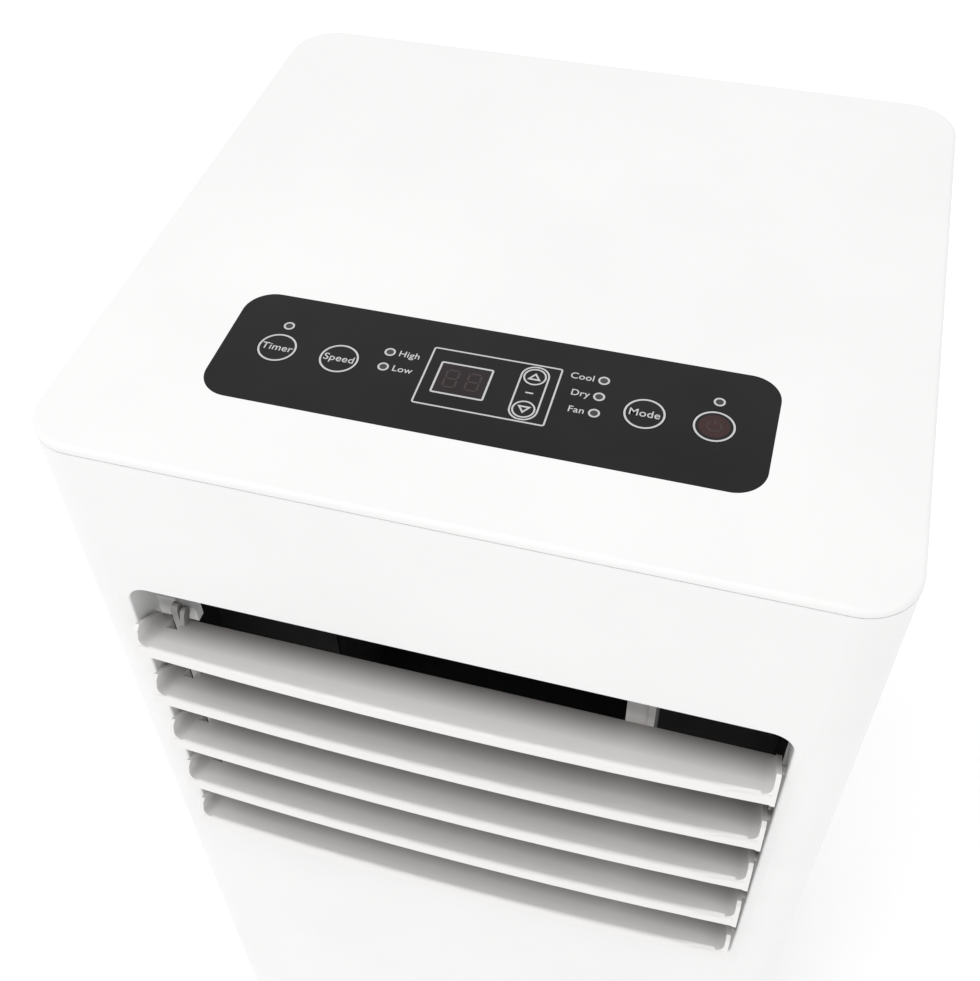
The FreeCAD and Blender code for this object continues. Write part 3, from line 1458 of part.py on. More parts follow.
def check_and_write():
    doc.recompute()
    failed = [thing.Label for thing in doc.Objects if {"Invalid", "Error"} & set(thing.State)]
    if failed:
        raise RuntimeError("failed objects: " + ", ".join(failed))
    broken = [node.Label for node in NODES if not sound(node.Shape)]
    if broken:
        raise RuntimeError("bad shapes: " + ", ".join(broken))
    os.makedirs("parts", exist_ok=True)
    for node in NODES:
        node.Shape.exportStep("parts/%s.step" % node.Label)
    print(len(NODES), "nodes written")


build()
check_and_write()
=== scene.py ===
import json
import math

import bmesh
import bpy
from mathutils import Euler, Matrix, Vector


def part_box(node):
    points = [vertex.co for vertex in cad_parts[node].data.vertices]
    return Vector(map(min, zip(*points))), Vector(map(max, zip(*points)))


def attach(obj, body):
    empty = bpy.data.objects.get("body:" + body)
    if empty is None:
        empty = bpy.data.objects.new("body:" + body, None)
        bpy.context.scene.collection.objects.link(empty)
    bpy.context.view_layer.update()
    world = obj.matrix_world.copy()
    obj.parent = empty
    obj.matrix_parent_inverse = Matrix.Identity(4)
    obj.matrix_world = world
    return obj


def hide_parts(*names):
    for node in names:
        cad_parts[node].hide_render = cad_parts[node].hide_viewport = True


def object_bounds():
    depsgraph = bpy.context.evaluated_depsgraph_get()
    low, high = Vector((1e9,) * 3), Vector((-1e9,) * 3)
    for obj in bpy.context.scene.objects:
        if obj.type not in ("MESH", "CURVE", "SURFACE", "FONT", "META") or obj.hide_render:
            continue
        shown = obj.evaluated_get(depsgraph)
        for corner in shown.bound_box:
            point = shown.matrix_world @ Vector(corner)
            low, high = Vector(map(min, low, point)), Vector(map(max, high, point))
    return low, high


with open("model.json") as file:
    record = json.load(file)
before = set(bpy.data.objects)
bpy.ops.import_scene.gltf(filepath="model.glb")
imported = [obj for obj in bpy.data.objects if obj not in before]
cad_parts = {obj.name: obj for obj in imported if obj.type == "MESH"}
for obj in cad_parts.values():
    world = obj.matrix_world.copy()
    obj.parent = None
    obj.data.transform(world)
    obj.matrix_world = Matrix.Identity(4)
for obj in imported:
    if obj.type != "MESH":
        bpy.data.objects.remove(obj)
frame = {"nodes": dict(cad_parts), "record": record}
CAD_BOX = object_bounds()
MM = 0.001
SLOTS = {row["node"]: row["material_slot"] for row in frame["record"]["subparts"]}
JOINTS = {row["name"]: row for row in frame["record"]["behaviour"]["joints"]}


# Shader writing ----------------------------------------------------------------------------------


class Value:
    """A shader socket that can be used in ordinary arithmetic."""

    def __init__(self, paint, socket):
        self.paint = paint
        self.socket = socket

    def _math(self, operation, first, second):
        return self.paint.node("ShaderNodeMath", {"operation": operation}, {0: first, 1: second})

    def __add__(self, other):
        return self._math("ADD", self, other)

    def __radd__(self, other):
        return self._math("ADD", other, self)

    def __mul__(self, other):
        return self._math("MULTIPLY", self, other)

    def __rmul__(self, other):
        return self._math("MULTIPLY", other, self)

    def __lt__(self, other):
        return self._math("LESS_THAN", self, other)

    def __gt__(self, other):
        return self._math("GREATER_THAN", self, other)


class Paint:
    """One material: its nodes, and the principled shader that they feed."""

    def __init__(self, name, **constants):
        self.material = bpy.data.materials.new(name)
        self.material.use_nodes = True
        self.tree = self.material.node_tree
        self.tree.nodes.clear()
        sockets = {socket.replace("_", " "): amount for socket, amount in constants.items()}
        surface = self.node("ShaderNodeBsdfPrincipled", sockets=sockets)
        self.node("ShaderNodeOutputMaterial", sockets={"Surface": surface}, output=None)
        self.shader = surface.socket.node
        self.place = self.node("ShaderNodeTexCoord", output="Object")

    def node(self, kind, settings=None, sockets=None, output=0):
        """Any node: its settings first, then the values or links of its sockets."""
        made = self.tree.nodes.new(kind)
        for name, setting in (settings or {}).items():
            setattr(made, name, setting)
        for name, amount in (sockets or {}).items():
            if isinstance(amount, Value):
                self.tree.links.new(amount.socket, made.inputs[name])
            else:
                made.inputs[name].default_value = amount
        return None if output is None else Value(self, made.outputs[output])

    def noise(self, size, detail=3.0, stretch=(1, 1, 1)):
        """Cloudy noise from 0 to 1 whose features are about size metres across."""
        scale = tuple(s / size for s in stretch)
        spread = self.node("ShaderNodeMapping", sockets={"Vector": self.place, "Scale": scale})
        sockets = {"Vector": spread, "Scale": 1.0, "Detail": detail}
        return self.node("ShaderNodeTexNoise", sockets=sockets)

    def cell_edges(self, size):
        """The distance from the nearest edge of cells about size metres across."""
        sockets = {"Vector": self.place, "Scale": 1.0 / size}
        return self.node("ShaderNodeTexVoronoi", {"feature": "DISTANCE_TO_EDGE"}, sockets)

    def between(self, amount, low, high, start=0.35, end=0.65):
        """Values from low to high as the amount goes from start to end."""
        sockets = {"Value": amount, "From Min": start, "From Max": end, "To Min": low, "To Max": high}
        return self.node("ShaderNodeMapRange", {"clamp": True}, sockets)

    def blend(self, amount, first, second):
        """A colour between two plain colours. Its node has its colours on sockets 6 and 7."""
        sockets = {0: amount, 6: (*first, 1.0), 7: (*second, 1.0)}
        return self.node("ShaderNodeMix", {"data_type": "RGBA"}, sockets, output=2)

    def feed(self, **sockets):
        """Link what varies over the surface to the shader."""
        for name, amount in sockets.items():
            self.tree.links.new(amount.socket, self.shader.inputs[name.replace("_", " ")])

    def bump(self, height, depth, strength=1.0):
        """Relief of a depth in metres, as the last step of a finish."""
        sockets = {"Height": height, "Distance": depth, "Strength": strength}
        self.feed(Normal=self.node("ShaderNodeBump", sockets=sockets))
        return self


def shaded(colour, factor):
    """A colour made lighter or darker by a factor, never past white."""
    return tuple(min(1.0, c * factor) for c in colour)


# Finishes ----------------------------------------------------------------------------------------


def moulded(name, colour, rough, grain=0.6 * MM, **constants):
    """Moulded plastic: a fine even grain, a faint drift in tone and small gloss changes."""
    paint = Paint(name, **constants)
    mottle = 0.012
    drift = paint.between(paint.noise(90 * MM, detail=2.0), 0.0, 1.0)
    paint.feed(Base_Color=paint.blend(drift, shaded(colour, 1 - mottle), shaded(colour, 1 + mottle)))
    fine = paint.noise(grain, detail=2.0)
    haze = paint.noise(18 * MM)
    gloss = paint.between(haze, rough - 0.035, rough + 0.035) + paint.between(fine, -0.02, 0.02)
    paint.feed(Roughness=gloss)
    return paint.bump(fine + 0.4 * haze, depth=0.012 * MM)


def blade_plastic_painted_shade(name, lip, rear):
    """The blades' plastic: off-white at the lip, with painted shade darkening it towards the rear edge.
    """
    paint = Paint(name, Specular_IOR_Level=0.4)
    pivot = JOINTS["louvre_1_tilt"]["pos_m"][1]
    shade_start = pivot - 9 * MM
    shade_end = pivot + 8 * MM
    back = paint.node("ShaderNodeSeparateXYZ", sockets={"Vector": paint.place}, output="Y")
    cloud = paint.noise(20 * MM)
    # Painted shade: the colour runs from the lip colour to a dark grey at the rear edge, standing in
    # for the shade under the casing and the blade above.
    shade_fade = paint.between(back + 1.5 * MM * cloud, 0.0, 1.0, shade_start, shade_end)
    paint.feed(Base_Color=paint.blend(shade_fade, lip, rear))
    fine = paint.noise(0.8 * MM, detail=2.0)
    paint.feed(Roughness=paint.between(cloud, 0.34, 0.42) + paint.between(fine, -0.02, 0.02))
    return paint.bump(fine, depth=0.012 * MM)


def gloss_panel(name, colour, rough=0.16):
    """Printed film under clear plastic, with a faint ripple and the fine wipe marks of a used panel."""
    paint = Paint(name, Coat_Weight=0.07, Coat_Roughness=0.05, Specular_IOR_Level=0.17)
    ripple = paint.noise(30 * MM, detail=1.5)
    wipe = paint.noise(1.5 * MM, detail=2.0, stretch=(0.12, 1.0, 1.0))
    tone = paint.between(ripple, 0.0, 1.0)
    paint.feed(Base_Color=paint.blend(tone, shaded(colour, 0.9), shaded(colour, 1.15)))
    paint.feed(Roughness=paint.between(wipe, rough - 0.03, rough + 0.05))
    return paint.bump(ripple, depth=0.04 * MM, strength=0.4)


def printed_ink(name, colour):
    """Screen-printed ink: matt, and slightly uneven in density."""
    paint = Paint(name)
    grain = paint.noise(0.4 * MM, detail=2.0)
    cover = paint.between(grain, 0.0, 1.0)
    paint.feed(Base_Color=paint.blend(cover, shaded(colour, 0.86), colour))
    paint.feed(Roughness=paint.between(grain, 0.45, 0.6))
    return paint.bump(grain, depth=0.01 * MM)


def metal(name, colour, rough, brushed=(1, 1, 1), grain=1.2 * MM, tarnish=None):
    """Bare metal with a drawn or brushed grain and patches of duller tone."""
    paint = Paint(name, Metallic=1.0)
    scratch = paint.noise(grain, stretch=brushed)
    patch = paint.noise(30 * MM, detail=4.0)
    dull = paint.between(patch, 0.0, 1.0, 0.42, 0.7)
    paint.feed(Base_Color=paint.blend(dull, colour, tarnish or shaded(colour, 0.82)))
    gloss = paint.between(scratch, rough - 0.06, rough + 0.1) + paint.between(patch, 0.0, 0.1, 0.4, 0.7)
    paint.feed(Roughness=gloss)
    return paint.bump(scratch, depth=0.02 * MM)


def enamel(name, colour):
    """Baked enamel with orange peel and a few rubbed spots."""
    paint = Paint(name, Specular_IOR_Level=0.45)
    peel = paint.noise(2 * MM, detail=2.0)
    rub = paint.noise(20 * MM, detail=5.0)
    worn = tuple(c * 2.2 + 0.02 for c in colour)
    paint.feed(Base_Color=paint.blend(paint.between(rub, 0.0, 1.0, 0.62, 0.75), colour, worn))
    paint.feed(Roughness=paint.between(rub, 0.28, 0.5))
    return paint.bump(peel, depth=0.06 * MM)


def soft_rubber(name, colour):
    """Matt rubber with a pale bloom in patches."""
    paint = Paint(name, Specular_IOR_Level=0.35)
    grain = paint.noise(0.9 * MM)
    bloom = paint.between(paint.noise(12 * MM), 0.0, 1.0, 0.45, 0.75)
    paint.feed(Base_Color=paint.blend(bloom, colour, tuple(c + 0.02 for c in colour)))
    paint.feed(Roughness=paint.between(grain, 0.62, 0.82))
    return paint.bump(grain, depth=0.04 * MM)


def circuit_board(name, lacquer, tracks):
    """Lacquer over a maze of copper tracks."""
    paint = Paint(name)
    track = paint.cell_edges(4 * MM) < 0.06
    paint.feed(Base_Color=paint.blend(track, lacquer, tracks))
    paint.feed(Roughness=paint.between(track, 0.35, 0.25, 0.0, 1.0))
    return paint.bump(track, depth=0.04 * MM)


def net_thread(name, thread, dust):
    """Net thread with a fine twist and some dust."""
    paint = Paint(name, Specular_IOR_Level=0.4)
    twist = paint.noise(0.5 * MM, detail=2.0)
    dusty = paint.between(paint.noise(20 * MM, detail=4.0), 0.0, 1.0, 0.4, 0.8)
    paint.feed(Base_Color=paint.blend(dusty, thread, dust))
    paint.feed(Roughness=paint.between(twist, 0.5, 0.7))
    return paint.bump(twist, depth=0.03 * MM)


def floor_paper(name, low, high):
    """A pale studio floor with the faintest paper tooth."""
    paint = Paint(name, Specular_IOR_Level=0.1, Emission_Strength=0.12, Emission_Color=(1, 1, 1, 1))
    tooth = paint.noise(2 * MM)
    drift = paint.between(paint.noise(600 * MM, detail=2.0), 0.0, 1.0)
    paint.feed(Base_Color=paint.blend(drift, low, high))
    paint.feed(Roughness=paint.between(tooth, 0.75, 0.9))
    return paint.bump(tooth, depth=0.03 * MM)


CASE_WHITE = (0.83, 0.83, 0.826)
TRAY_WHITE = (0.74, 0.74, 0.73)
BLADE_LIP = (0.8, 0.79, 0.775)
# Painted shade: the dark grey of the blades' rear edge.
BLADE_PAINTED_SHADE = (0.27, 0.255, 0.245)
# Painted shade: the outlet strut gets a grey darker than its plastic, standing in for the shadow on its
# front face.
STRUT_PAINTED_SHADE = (0.42, 0.405, 0.395)
PANEL_BLACK = (0.0085, 0.0085, 0.0088)
KEY_BLACK = (0.0095, 0.0095, 0.0098)
WINDOW_SMOKE = (0.022, 0.0165, 0.0175)
LAMP_GREY = (0.05, 0.05, 0.052)
LACQUER_GREEN = (0.012, 0.09, 0.035)
TRACK_GREEN = (0.05, 0.2, 0.08)
FIN_METAL = (0.78, 0.79, 0.8)
COPPER = (0.72, 0.36, 0.2)
COPPER_TARNISH = (0.38, 0.17, 0.09)
THREAD_BLACK = (0.03, 0.03, 0.034)
NET_DUST = (0.1, 0.1, 0.1)
FINISHES = {
    "case_white": moulded("case_white", CASE_WHITE, 0.42),
    # The blades' finish paints shade towards their rear edge.
    "louvre_white": blade_plastic_painted_shade("louvre_white", BLADE_LIP, BLADE_PAINTED_SHADE),
    "panel_black": gloss_panel("panel_black", PANEL_BLACK),
    "key_black": gloss_panel("key_black", KEY_BLACK, 0.2),
    "power_red": gloss_panel("power_red", KEY_BLACK, 0.2),
    "smoked_lens": gloss_panel("smoked_lens", WINDOW_SMOKE, 0.1),
    "lamp_lens": gloss_panel("lamp_lens", LAMP_GREY, 0.3),
    "board_green": circuit_board("board_green", LACQUER_GREEN, TRACK_GREEN),
    "component_dark": moulded("component_dark", (0.02, 0.02, 0.022), 0.5),
    "duct_black": moulded("duct_black", (0.006, 0.006, 0.006), 0.7, Specular_IOR_Level=0.2),
    "blower_black": moulded("blower_black", (0.014, 0.014, 0.015), 0.6, Specular_IOR_Level=0.25),
    # The strut's grey is painted shade.
    "strut_grey": moulded("strut_grey", STRUT_PAINTED_SHADE, 0.4, grain=0.8 * MM),
    "fan_black": moulded("fan_black", (0.012, 0.012, 0.012), 0.5, Specular_IOR_Level=0.3),
    "coil_metal": metal("coil_metal", FIN_METAL, 0.3, brushed=(1, 1, 0.05)),
    "copper_pipe": metal("copper_pipe", COPPER, 0.25, tarnish=COPPER_TARNISH),
    "motor_steel": metal("motor_steel", (0.58, 0.59, 0.61), 0.32, brushed=(0.1, 1, 1)),
    "compressor_black": enamel("compressor_black", (0.012, 0.012, 0.013)),
    "box_steel": metal("box_steel", (0.62, 0.63, 0.65), 0.34, grain=6 * MM),
    "rubber_black": soft_rubber("rubber_black", (0.018, 0.018, 0.018)),
    "screw_steel": metal("screw_steel", (0.6, 0.6, 0.59), 0.28),
    "tray_white": moulded("tray_white", TRAY_WHITE, 0.5),
    "filter_dark": net_thread("filter_dark", THREAD_BLACK, NET_DUST),
    "wheel_dark": moulded("wheel_dark", (0.03, 0.03, 0.033), 0.45),
    "hood_grey": moulded("hood_grey", (0.045, 0.045, 0.048), 0.4),
}
LEGEND_INK = printed_ink("legend_ink", (0.56, 0.56, 0.57))
LABEL_INK = printed_ink("label_ink", (0.03, 0.03, 0.032))
LABEL_SILVER = moulded("label_silver", (0.62, 0.63, 0.64), 0.35, Specular_IOR_Level=0.6)
RED_INK = gloss_panel("power_disc_red", (0.04, 0.018, 0.0185), 0.25)
SEGMENT_INK = printed_ink("segment_ink", (0.035, 0.02, 0.021))


def paint_cad_nodes():
    """Give every CAD node the finish that its slot names."""
    for name, node in frame["nodes"].items():
        node.data.materials.clear()
        node.data.materials.append(FINISHES[SLOTS[name]].material)


# Making pieces -----------------------------------------------------------------------------------


def add_piece(name, mesh, body, paint):
    """A finished piece that rides on a body."""
    piece = bpy.data.objects.new(name, mesh)
    bpy.context.scene.collection.objects.link(piece)
    piece.data.materials.append(paint.material)
    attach(piece, body)
    return piece


def mesh_from(name, shapes):
    """One mesh from a bmesh, with its normals outward."""
    bmesh.ops.recalc_face_normals(shapes, faces=shapes.faces)
    mesh = bpy.data.meshes.new(name)
    shapes.to_mesh(mesh)
    shapes.free()
    return mesh


def add_strip(shapes, outer, inner, base, top, closed=True):
    """A flat band between two outlines with as many points, from base to top."""
    outer_low = [shapes.verts.new((x, y, base)) for x, y in outer]
    outer_high = [shapes.verts.new((x, y, top)) for x, y in outer]
    inner_low = [shapes.verts.new((x, y, base)) for x, y in inner]
    inner_high = [shapes.verts.new((x, y, top)) for x, y in inner]
    count = len(outer)
    for i in range(count if closed else count - 1):
        j = (i + 1) % count
        shapes.faces.new((outer_high[i], outer_high[j], inner_high[j], inner_high[i]))
        shapes.faces.new((outer_low[i], outer_low[j], outer_high[j], outer_high[i]))
        shapes.faces.new((inner_low[j], inner_low[i], inner_high[i], inner_high[j]))
        shapes.faces.new((outer_low[j], outer_low[i], inner_low[i], inner_low[j]))


def add_plate(shapes, outline, base, top):
    """A flat solid with the given outline, from base to top."""
    low = [shapes.verts.new((x, y, base)) for x, y in outline]
    high = [shapes.verts.new((x, y, top)) for x, y in outline]
    shapes.faces.new(high)
    shapes.faces.new(list(reversed(low)))
    for i in range(len(outline)):
        j = (i + 1) % len(outline)
        shapes.faces.new((low[i], low[j], high[j], high[i]))


def add_brick(shapes, low, high):
    """A square block between two corners."""
    x, y, z = zip(low, high)
    corners = [shapes.verts.new((x[i], y[j], z[k])) for i in (0, 1) for j in (0, 1) for k in (0, 1)]
    for face in ((0, 1, 3, 2), (4, 6, 7, 5), (0, 4, 5, 1), (2, 3, 7, 6), (0, 2, 6, 4), (1, 5, 7, 3)):
        shapes.faces.new([corners[i] for i in face])


def circle_points(x, y, radius, steps=48):
    turns = [2 * math.pi * i / steps for i in range(steps)]
    return [(x + radius * math.cos(t), y + radius * math.sin(t)) for t in turns]


def rounded_points(x, y, half_x, half_y, corner, steps=8):
    """A rectangle with rounded corners, anticlockwise."""
    points = []
    for quarter, (sx, sy) in enumerate(((1, 1), (-1, 1), (-1, -1), (1, -1))):
        for i in range(steps + 1):
            turn = (quarter + i / steps) * math.pi / 2
            cx = x + sx * (half_x - corner)
            cy = y + sy * (half_y - corner)
            points.append((cx + corner * math.cos(turn), cy + corner * math.sin(turn)))
    return points


# Panel printing ----------------------------------------------------------------------------------

PANEL_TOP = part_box("control_fascia")[1].z
PRINT_BASE = PANEL_TOP - 0.01 * MM
PRINT_TOP = PANEL_TOP + 0.06 * MM
THIN_LINE = 0.7 * MM
LINE = 0.8 * MM
KEY_RING_INSET = 0.15 * MM
NEAR_TOP = 0.1 * MM


def middle_of(node):
    low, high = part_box(node)
    return (low.x + high.x) / 2, (low.y + high.y) / 2


def top_radius(node):
    """Half the width of a key's cap, from the vertices on its upper face."""
    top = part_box(node)[1].z
    cap = [v.co.x for v in frame["nodes"][node].data.vertices if v.co.z > top - NEAR_TOP]
    return (max(cap) - min(cap)) / 2


def add_ring(shapes, x, y, radius, width=LINE):
    outer = circle_points(x, y, radius)
    inner = circle_points(x, y, radius - width)
    add_strip(shapes, outer, inner, PRINT_BASE, PRINT_TOP)


def add_frame(shapes, x, y, half_x, half_y, corner, width=THIN_LINE):
    """A printed rectangle with rounded corners, its line inside its size."""
    outer = rounded_points(x, y, half_x, half_y, corner)
    inner = rounded_points(x, y, half_x - width, half_y - width, max(corner - width, 0.1 * MM))
    add_strip(shapes, outer, inner, PRINT_BASE, PRINT_TOP)


def add_word(shapes, word, x, y, tall, align="CENTER", level=(PRINT_TOP + PRINT_BASE) / 2):
    """A plain word laid flat at a level, its middle height at y."""
    size_of_height = 1.38
    letters = bpy.data.curves.new("letters", "FONT")
    letters.body = word
    letters.align_x = align
    letters.align_y = "CENTER"
    letters.size = tall * size_of_height
    letters.space_character = 1.04
    letters.offset = 0.03 * MM
    letters.extrude = (PRINT_TOP - PRINT_BASE) / 2
    maker = bpy.data.objects.new("letters", letters)
    bpy.context.scene.collection.objects.link(maker)
    bpy.context.view_layer.update()
    mesh = bpy.data.meshes.new_from_object(maker.evaluated_get(bpy.context.evaluated_depsgraph_get()))
    mesh.transform(Matrix.Translation((x, y, level)))
    shapes.from_mesh(mesh)
    bpy.data.meshes.remove(mesh)
    bpy.data.objects.remove(maker)
    bpy.data.curves.remove(letters)


def lamp_centres():
    """The middle of each round lamp, found from the separate lenses of their node."""
    lens_reach = 4 * MM
    mesh = frame["nodes"]["indicator_lenses"].data
    top = max(v.co.z for v in mesh.vertices)
    lenses = []
    for vertex in mesh.vertices:
        if vertex.co.z < top - NEAR_TOP:
            continue
        near = [lens for lens in lenses if (lens[0] - vertex.co).length < lens_reach]
        if near:
            near[0].append(vertex.co)
        else:
            lenses.append([vertex.co])
    centres = []
    for lens in lenses:
        xs = [v.x for v in lens]
        ys = [v.y for v in lens]
        centres.append(((min(xs) + max(xs)) / 2, (min(ys) + max(ys)) / 2))
    return sorted(centres)


def word_print(node, word):
    """A round key's printing: a ring at its edge and its word."""
    x, y = middle_of(node)
    shapes = bmesh.new()
    add_ring(shapes, x, y, top_radius(node) - KEY_RING_INSET)
    add_word(shapes, word, x, y, 3.7 * MM)
    add_piece(node + "_print", mesh_from(node + "_print", shapes), node, LEGEND_INK)


def arrow_print(node, way):
    """A small key's printing: a ring and an open arrow that points up (1) or down (-1)."""
    x, y = middle_of(node)
    half = 2.7 * MM
    tip = way * 2.2 * MM
    outer = [(x - half, y - tip * 0.8), (x + half, y - tip * 0.8), (x, y + tip)]
    inner = [(x - half * 0.5, y - tip * 0.45), (x + half * 0.5, y - tip * 0.45), (x, y + tip * 0.42)]
    if way < 0:
        outer.reverse()
        inner.reverse()
    shapes = bmesh.new()
    add_ring(shapes, x, y, top_radius(node) - KEY_RING_INSET, THIN_LINE)
    add_strip(shapes, outer, inner, PRINT_BASE, PRINT_TOP)
    add_piece(node + "_print", mesh_from(node + "_print", shapes), node, LEGEND_INK)


def power_print():
    """The power key: a ring, a dark red disc and a plain on-off sign."""
    x, y = middle_of("power_key")
    disc_radius = 5.9 * MM
    disc_drop = 0.02 * MM
    sign_base = PRINT_TOP - 0.03 * MM
    arc_outer, arc_inner = 2.9 * MM, 2.3 * MM
    arc_gap, arc_steps = 32, 30
    bar_half = 0.3 * MM
    bar_foot, bar_head = 0.9 * MM, 3.4 * MM

    ring = bmesh.new()
    add_ring(ring, x, y, top_radius("power_key") - KEY_RING_INSET)
    disc = bmesh.new()
    add_plate(disc, circle_points(x, y, disc_radius), PRINT_BASE, PRINT_TOP - disc_drop)
    sign = bmesh.new()
    sweep = (360 - 2 * arc_gap) / arc_steps
    turns = [math.radians(90 + arc_gap + i * sweep) for i in range(arc_steps + 1)]
    arcs = [[(x + r * math.cos(t), y + r * math.sin(t)) for t in turns] for r in (arc_outer, arc_inner)]
    add_strip(sign, *arcs, sign_base, PRINT_TOP, closed=False)
    bar = [(x - bar_half, y + bar_foot), (x + bar_half, y + bar_foot)]
    bar += [(x + bar_half, y + bar_head), (x - bar_half, y + bar_head)]
    add_plate(sign, bar, sign_base, PRINT_TOP)
    parts = ((ring, "ring", LEGEND_INK), (disc, "disc", RED_INK), (sign, "sign", SEGMENT_INK))
    for shapes, part, paint in parts:
        name = "power_key_" + part
        add_piece(name, mesh_from(name, shapes), "power_key", paint)


def panel_print():
    """Everything printed on the fixed part of the panel."""
    lamp_ring, lamp_line = 2.25 * MM, 0.75 * MM
    word_tall = 3.3 * MM
    word_gap = 3.6 * MM
    lamp_group_reach = 60 * MM
    window_gap = 0.4 * MM
    key_gap = 1.0 * MM
    key_end_gap = 1.1 * MM

    shapes = bmesh.new()
    lamps = lamp_centres()
    for x, y in lamps:
        add_ring(shapes, x, y, lamp_ring, lamp_line)
    panel_x, panel_y = middle_of("control_fascia")
    add_frame(shapes, panel_x, panel_y, 26 * MM, 16 * MM, corner=1.2 * MM)
    low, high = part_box("display_window")
    x, y = middle_of("display_window")
    half_x = (high.x - low.x) / 2 + window_gap
    half_y = (high.y - low.y) / 2 + window_gap
    add_frame(shapes, x, y, half_x, half_y, corner=1 * MM, width=LINE)

    x, up_y = middle_of("up_key")
    down_y = middle_of("down_key")[1]
    y = (up_y + down_y) / 2
    radius = top_radius("up_key")
    reach = (up_y - down_y) / 2 + radius + key_end_gap
    add_frame(shapes, x, y, radius + key_gap, reach, corner=5.5 * MM)
    dash = rounded_points(x, y, 1.6 * MM, 0.35 * MM, corner=0.3 * MM, steps=3)
    add_plate(shapes, dash, PRINT_BASE, PRINT_TOP)

    speeds = [lamp for lamp in lamps if -lamp_group_reach < lamp[0] < 0]
    modes = [lamp for lamp in lamps if 0 < lamp[0] < lamp_group_reach]
    groups = (
        (speeds, ("Low", "High"), word_gap, "LEFT"),
        (modes, ("Fan", "Dry", "Cool"), -word_gap, "RIGHT"),
    )
    for group, words, gap, align in groups:
        front_to_back = sorted(group, key=lambda lamp: lamp[1])
        for word, (x, y) in zip(words, front_to_back):
            add_word(shapes, word, x + gap, y, word_tall, align)
    add_piece("panel_print", mesh_from("panel_print", shapes), "casing", LEGEND_INK)


def add_segment(shapes, x, y, upright):
    """One bar of a digit: a six-sided lozenge."""
    half = 2.1 * MM
    thin = 0.42 * MM
    flat = [(-half, 0), (-half + thin, -thin), (half - thin, -thin)]
    flat += [(half, 0), (half - thin, thin), (-half + thin, thin)]
    if upright:
        flat = [(-b, a) for a, b in flat]
    add_plate(shapes, [(x + a, y + b) for a, b in flat], PRINT_TOP - 0.05 * MM, PRINT_TOP)


def unlit_digits():
    """The two unlit digits that show faintly through the smoked window."""
    half_tall = 4.6 * MM
    half_wide = 2.4 * MM
    digit_x = 4.4 * MM
    shapes = bmesh.new()
    window_x, window_y = middle_of("display_window")
    for side in (-1, 1):
        x = window_x + side * digit_x
        for level in (-1, 0, 1):
            add_segment(shapes, x, window_y + level * half_tall, upright=False)
        for across in (-1, 1):
            for level in (-0.5, 0.5):
                y = window_y + level * half_tall
                add_segment(shapes, x + across * half_wide, y, upright=True)
    add_piece("unlit_digits", mesh_from("unlit_digits", shapes), "casing", SEGMENT_INK)


# Air path pieces ---------------------------------------------------------------------------------


def filter_net():
    """A woven net: flat threads one way in front, and the other way just behind and into them."""
    pitch = 2.4 * MM
    half = 0.26 * MM
    depth = 0.32 * MM
    bite = 0.02 * MM
    low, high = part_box("filter_mesh")
    shapes = bmesh.new()
    middle = (low.y + high.y) / 2
    columns = int((high.x - low.x) / pitch)
    rows = int((high.z - low.z) / pitch)
    for column in range(columns + 1):
        x = low.x + half + column * (high.x - low.x - 2 * half) / columns
        add_brick(shapes, (x - half, middle - depth, low.z), (x + half, middle + bite, high.z))
    for row in range(rows + 1):
        z = low.z + half + row * (high.z - low.z - 2 * half) / rows
        add_brick(shapes, (low.x, middle - bite, z - half), (high.x, middle + depth, z + half))
    mesh = mesh_from("filter_net", shapes)
    net = add_piece("filter_net", mesh, "filter_cassette", FINISHES["filter_dark"])
    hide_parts("filter_mesh")


def coil_pieces(node):
    """A fin-and-tube coil: close thin fins, two end plates and copper return bends."""
    tube = 4 * MM
    bend = 12.5 * MM
    plate = 1.5 * MM
    fin_pitch = 2 * MM
    fin_half = 0.11 * MM
    fin_end_gap = 0.4 * MM
    fin_inset = 0.8 * MM
    stagger = 0.35 * MM
    low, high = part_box(node)
    core = high.x - bend - tube - plate
    inner = [v.co.z for v in frame["nodes"][node].data.vertices if abs(v.co.x) < core - tube]
    foot, head = min(inner), max(inner)

    fins = bmesh.new()
    count = int(2 * core / fin_pitch)
    for step in range(count + 1):
        x = -core + fin_end_gap + step * 2 * (core - fin_end_gap) / count
        wave = stagger * (1 if step % 2 else -1)
        near = (x - fin_half, low.y + fin_inset - wave, foot)
        far = (x + fin_half, high.y - fin_inset - wave, head)
        add_brick(fins, near, far)
    for side in (-1, 1):
        near, far = sorted((side * core, side * (core + plate)))
        add_brick(fins, (near, low.y, low.z), (far, high.y, head))
    mesh = mesh_from(node + "_fins", fins)
    piece = add_piece(node + "_fins", mesh, "casing", FINISHES["coil_metal"])
    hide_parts(node)

    bends = bmesh.new()
    middle = (low.y + high.y) / 2
    rows = int(round((head - foot) / (2 * bend) - 0.4))
    for side in (-1, 1):
        for row in range(0 if side > 0 else 1, rows - 1, 2):
            z = foot + 2 * bend * (row + 1)
            add_bend(bends, (side * (core + plate), middle, z), side, bend, tube)
    mesh = mesh_from(node + "_bends", bends)
    piece = add_piece(node + "_bends", mesh, "casing", FINISHES["copper_pipe"])
    for face in piece.data.polygons:
        face.use_smooth = True
    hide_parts(node)


